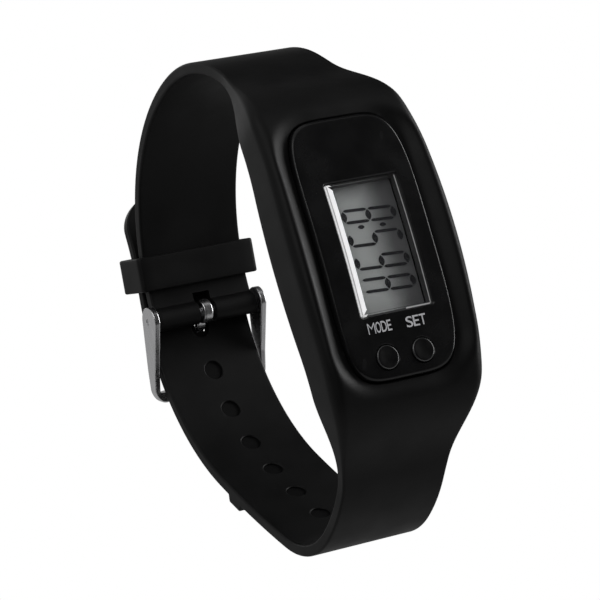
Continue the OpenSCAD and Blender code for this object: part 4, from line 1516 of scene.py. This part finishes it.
    def digits(self) -> None:
        """Builds the lit strokes of the time: four digits of up to seven strokes, and the colon."""
        low, middle, high = self.digit_x
        near, far = (low + middle) / 2, (middle + high) / 2
        strokes = []
        for on, z in zip(("1111111", "1011011", "1111011", "1110111"), self.digit_z):
            below, above = z - self.digit_half, z + self.digit_half
            places = (
                (high, z, False), (far, below, True), (near, below, True), (low, z, False),
                (near, above, True), (far, above, True), (middle, z, False))
            for lit, (x, centre, is_long) in zip(on, places):
                if lit == "1":
                    size = (high - middle - 0.35, 0.46) if is_long else (0.95, 1.65)
                    strokes.append(self.stroke((x, centre), size, 12.0 if is_long else 2.0))
        strokes += [self.stroke((x, self.colon_z), (1.15, 0.6), 2.5) for x in (middle - 1.75, middle + 1.9)]
        piece = sum(strokes[1:], strokes[0]).made("display_digits")
        dress(piece, INK)
        placed(piece, "tracker_module", "display_ink", "display_segments")

    def button(self, side: Side, body: str, node: str) -> None:
        """Builds a push button: stem, flange and cap, with a rounded edge, a slightly dished top and a
        painted highlight on its rim.

        Its profile of radii r and levels is turned about an axis along Y: x = cx + r cos a, z = cz + r sin a.

        Args:
            side: Which button.
            body: The body that it rides on.
            node: The CAD node that it stands for.
        """
        r, top, soft = self.button_d / 2, self.button_top, self.button_edge
        turn = np.radians(np.linspace(0, 90, 7))
        edge = [(r - soft * (1 - math.cos(t)), top - soft * (1 - math.sin(t))) for t in turn]
        dish = [(r * k, top - self.button_dish * (1 - (k / 0.8) ** 2)) for k in (0.8, 0.6, 0.4, 0.2, 0.0)]
        centre = self.button_centre(side)
        profile = [*self.button_stem, (r, self.button_stem[-1][1]), *edge, *dish]
        rings = [(circle(centre, max(radius, 1e-3)), level) for radius, level in profile]
        piece = stacked(rings).made(f"button_{side.name.lower()}")
        x, y, z = middles(piece)
        # The cap's rounded rim gets the painted highlight.
        rim = (np.hypot(x - centre[0], z - centre[1]) > r - 0.17) & (-y > top - 0.3)
        dress(piece, BUTTON, BUTTON_RIM_HIGHLIGHT, faces=rim)
        placed(piece, body, "case_plastic", node)

    def label(self, words: str, centre: Pair, size: Pair, widths: tuple[float, ...]) -> None:
        """Prints a function label on the crowned face, letter by letter.

        Args:
            words: The label.
            centre: Its middle in X and Z.
            size: Its width and height.
            widths: Shares of the width, one for each letter.
        """
        room = size[0] - self.letter_gap * (len(words) - 1)
        sheet = bmesh.new()
        x = centre[0] - size[0] / 2
        for letter, share in zip(words, widths):
            wide = room * share / sum(widths)
            mesh = self.letter(letter, (x, centre[1] - size[1] / 2), (wide, size[1]))
            sheet.from_mesh(mesh)
            bpy.data.meshes.remove(mesh)
            x += wide + self.letter_gap
        print_mesh = bpy.data.meshes.new(f"label_{words.lower()}")
        sheet.to_mesh(print_mesh)
        sheet.free()
        piece = linked(print_mesh.name, print_mesh)
        dress(piece, PRINT)
        placed(piece, "tracker_module", "display_ink")

    def letter(self, letter: str, corner: Pair, size: Pair) -> bpy.types.Mesh:
        """Draws one letter and lays it on the crowned face.

        Args:
            letter: The letter.
            corner: Its lower left corner in X and Z.
            size: Its width and height.

        Returns:
            Its mesh, stretched to the size.
        """
        text = bpy.data.curves.new("letter", "FONT")
        text.body, text.extrude, text.resolution_u = letter, 0.01, 5
        text.offset = -0.012 if letter == "M" else 0.008
        draft = linked("letter", text)
        mesh = bpy.data.meshes.new_from_object(draft.evaluated_get(bpy.context.evaluated_depsgraph_get()))
        bpy.data.objects.remove(draft)
        co = np.empty(len(mesh.vertices) * 3)
        mesh.vertices.foreach_get("co", co)
        co = co.reshape(-1, 3)
        share = (co - co.min(0)) / (co.max(0) - co.min(0))
        x, z = corner[0] + share[:, 0] * size[0], corner[1] + share[:, 1] * size[1]
        points = np.stack([x, -self.top(z) - self.print_t * share[:, 2] + 0.002, z], axis=-1)
        mesh.vertices.foreach_set("co", (points * MM).astype(np.float32).ravel())
        mesh.update()
        return mesh

    def build(self) -> None:
        """Builds the module's visible pieces."""
        self.case()
        self.lens()
        self.cover()
        self.button(Side.LEFT, "mode_key", "mode_button")
        self.button(Side.RIGHT, "set_key", "set_button")
        self.digits()
        self.label("MODE", (-3.22, -12.12), (3.95, 1.6), (60, 42, 44, 34))
        self.label("SET", (2.95, -12.25), (3.4, 1.6), (48, 43, 45))


# Studio


@dataclass
class Studio:
    """Camera, lamps, floor and surroundings."""

    focal: float = 2911.3
    picture: float = 600.0
    sensor: float = 36.0
    distance: float = 450.0
    aim: Triple = (0.0, 20.4, 0.0)
    shift: Pair = (-1.52, 0.8)
    azimuth: float = -28.36
    elevation: float = -8.15
    roll: float = -15.82
    floor_z: float = -40.15
    floor_half: float = 1500.0
    flag_r: float = 700.0

    def camera(self) -> None:
        """Places the camera: it looks along the view's axes at the aim, turned by the roll."""
        a, e, r = (math.radians(v) for v in (self.azimuth, self.elevation, self.roll))
        back = Vector((math.sin(a) * math.cos(e), -math.cos(a) * math.cos(e), math.sin(e)))
        right = Vector((math.cos(a), math.sin(a), 0.0))
        up = back.cross(right)
        x_axis = math.cos(r) * right + math.sin(r) * up
        y_axis = -math.sin(r) * right + math.cos(r) * up
        at = (Vector(self.aim) - self.shift[0] * x_axis - self.shift[1] * y_axis + self.distance * back) * MM
        lens = bpy.data.cameras.new("view")
        lens.sensor_width = self.sensor
        lens.lens = self.focal * self.sensor / self.picture
        lens.clip_start, lens.clip_end = 0.01, 20.0
        camera = linked("view", lens)
        camera.matrix_world = Matrix.Translation(at) @ Matrix((x_axis, y_axis, back)).transposed().to_4x4()
        bpy.context.scene.camera = camera

    def lamp(self, name: str, at: Triple, size: Pair, power: float) -> None:
        """Hangs a soft area lamp that faces the object.

        Args:
            name: Name of the lamp.
            at: Its place in millimetres.
            size: Width and height in millimetres.
            power: Watts.
        """
        light = bpy.data.lights.new(name, "AREA")
        light.shape, light.energy = "RECTANGLE", power
        light.size, light.size_y = size[0] * MM, size[1] * MM
        place = Vector(at) * MM
        turn = (place - Vector((0, 0.02, 0))).to_track_quat("Z", "Y").to_matrix().to_4x4()
        linked(name, light).matrix_world = Matrix.Translation(place) @ turn

    def surroundings(self) -> None:
        """White surroundings for the camera and through glass, and a softer level for everything else."""
        world = bpy.data.worlds.new("studio")
        bpy.context.scene.world = world
        world.use_nodes = True
        w = Wiring(world.node_tree)
        path = w.node("ShaderNodeLightPath").outputs
        seen = w.combine("MAXIMUM", path["Is Camera Ray"], path["Is Transmission Ray"])
        w.feed(world.node_tree.nodes["Background"], {"Color": WHITE, "Strength": w.spread(seen, 0.38, 1.0)})

    def flag(self, name: str, turn: Pair, height: Pair) -> None:
        """Hangs a dark curved card, which only gloss and glass see: x = r sin a, y = -r cos a.

        Args:
            name: Name of the card.
            turn: Azimuths of its two ends, in degrees.
            height: Levels of its two edges, in millimetres.
        """
        a = np.radians(np.linspace(*turn, 40))
        z = np.linspace(*height, 6)[:, None]
        points = np.stack(np.broadcast_arrays(self.flag_r * np.sin(a), -self.flag_r * np.cos(a), z), axis=-1)
        index = np.arange(points[..., 0].size).reshape(points.shape[:2])
        faces = np.stack([index[:-1, :-1], index[:-1, 1:], index[1:, 1:], index[1:, :-1]], axis=-1)
        mesh = bpy.data.meshes.new(name)
        mesh.from_pydata((points.reshape(-1, 3) * MM).tolist(), [], faces.reshape(-1, 4).tolist())
        piece = linked(name, mesh)
        dress(piece, Card(f"{name}_dark"))
        piece.visible_camera = piece.visible_diffuse = piece.visible_shadow = False

    def floor(self) -> None:
        """A pale floor at the band's lowest point, seen from above only; it keeps the object's shadow."""
        mesh = bpy.data.meshes.new("floor")
        side, z = self.floor_half * MM, self.floor_z * MM
        corners = [(-side, -side, z), (side, -side, z), (side, side, z), (-side, side, z)]
        mesh.from_pydata(corners, [], [(0, 1, 2, 3)])
        piece = linked("floor", mesh)
        dress(piece, Ground("floor_pale"))
        piece.visible_glossy = False

    def build(self) -> None:
        """Sets up the studio."""
        bpy.context.scene.view_settings.view_transform = "Standard"
        self.camera()
        self.surroundings()
        self.floor()
        self.flag("flag_front", (-78, 48), (-900, 620))
        self.flag("flag_top", (56, 150), (470, 1700))
        self.lamp("key", (-420, -320, 420), (420, 420), 0.7)
        self.lamp("side", (620, -160, 80), (260, 520), 3.2)
        self.lamp("front", (-385, -590, 150), (200, 300), 0.75)
        self.lamp("back", (-80, 620, 360), (420, 260), 0.3)
        LOG.info("studio ready")


def main() -> None:
    """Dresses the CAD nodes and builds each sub-assembly in order."""
    logging.basicConfig(level=logging.INFO, format="%(message)s")
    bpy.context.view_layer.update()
    Studio().build()
    for finish, names in DRESSING.items():
        for name in names:
            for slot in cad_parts[name].material_slots:
                slot.material = finish.made()
            LOG.info("%s dressed", name)
    band = Band()
    band.build()
    Keeper(band).build()
    buckle = Buckle(band)
    buckle.frame()
    buckle.tongue()
    Module().build()


if __name__ == "__main__":
    main()
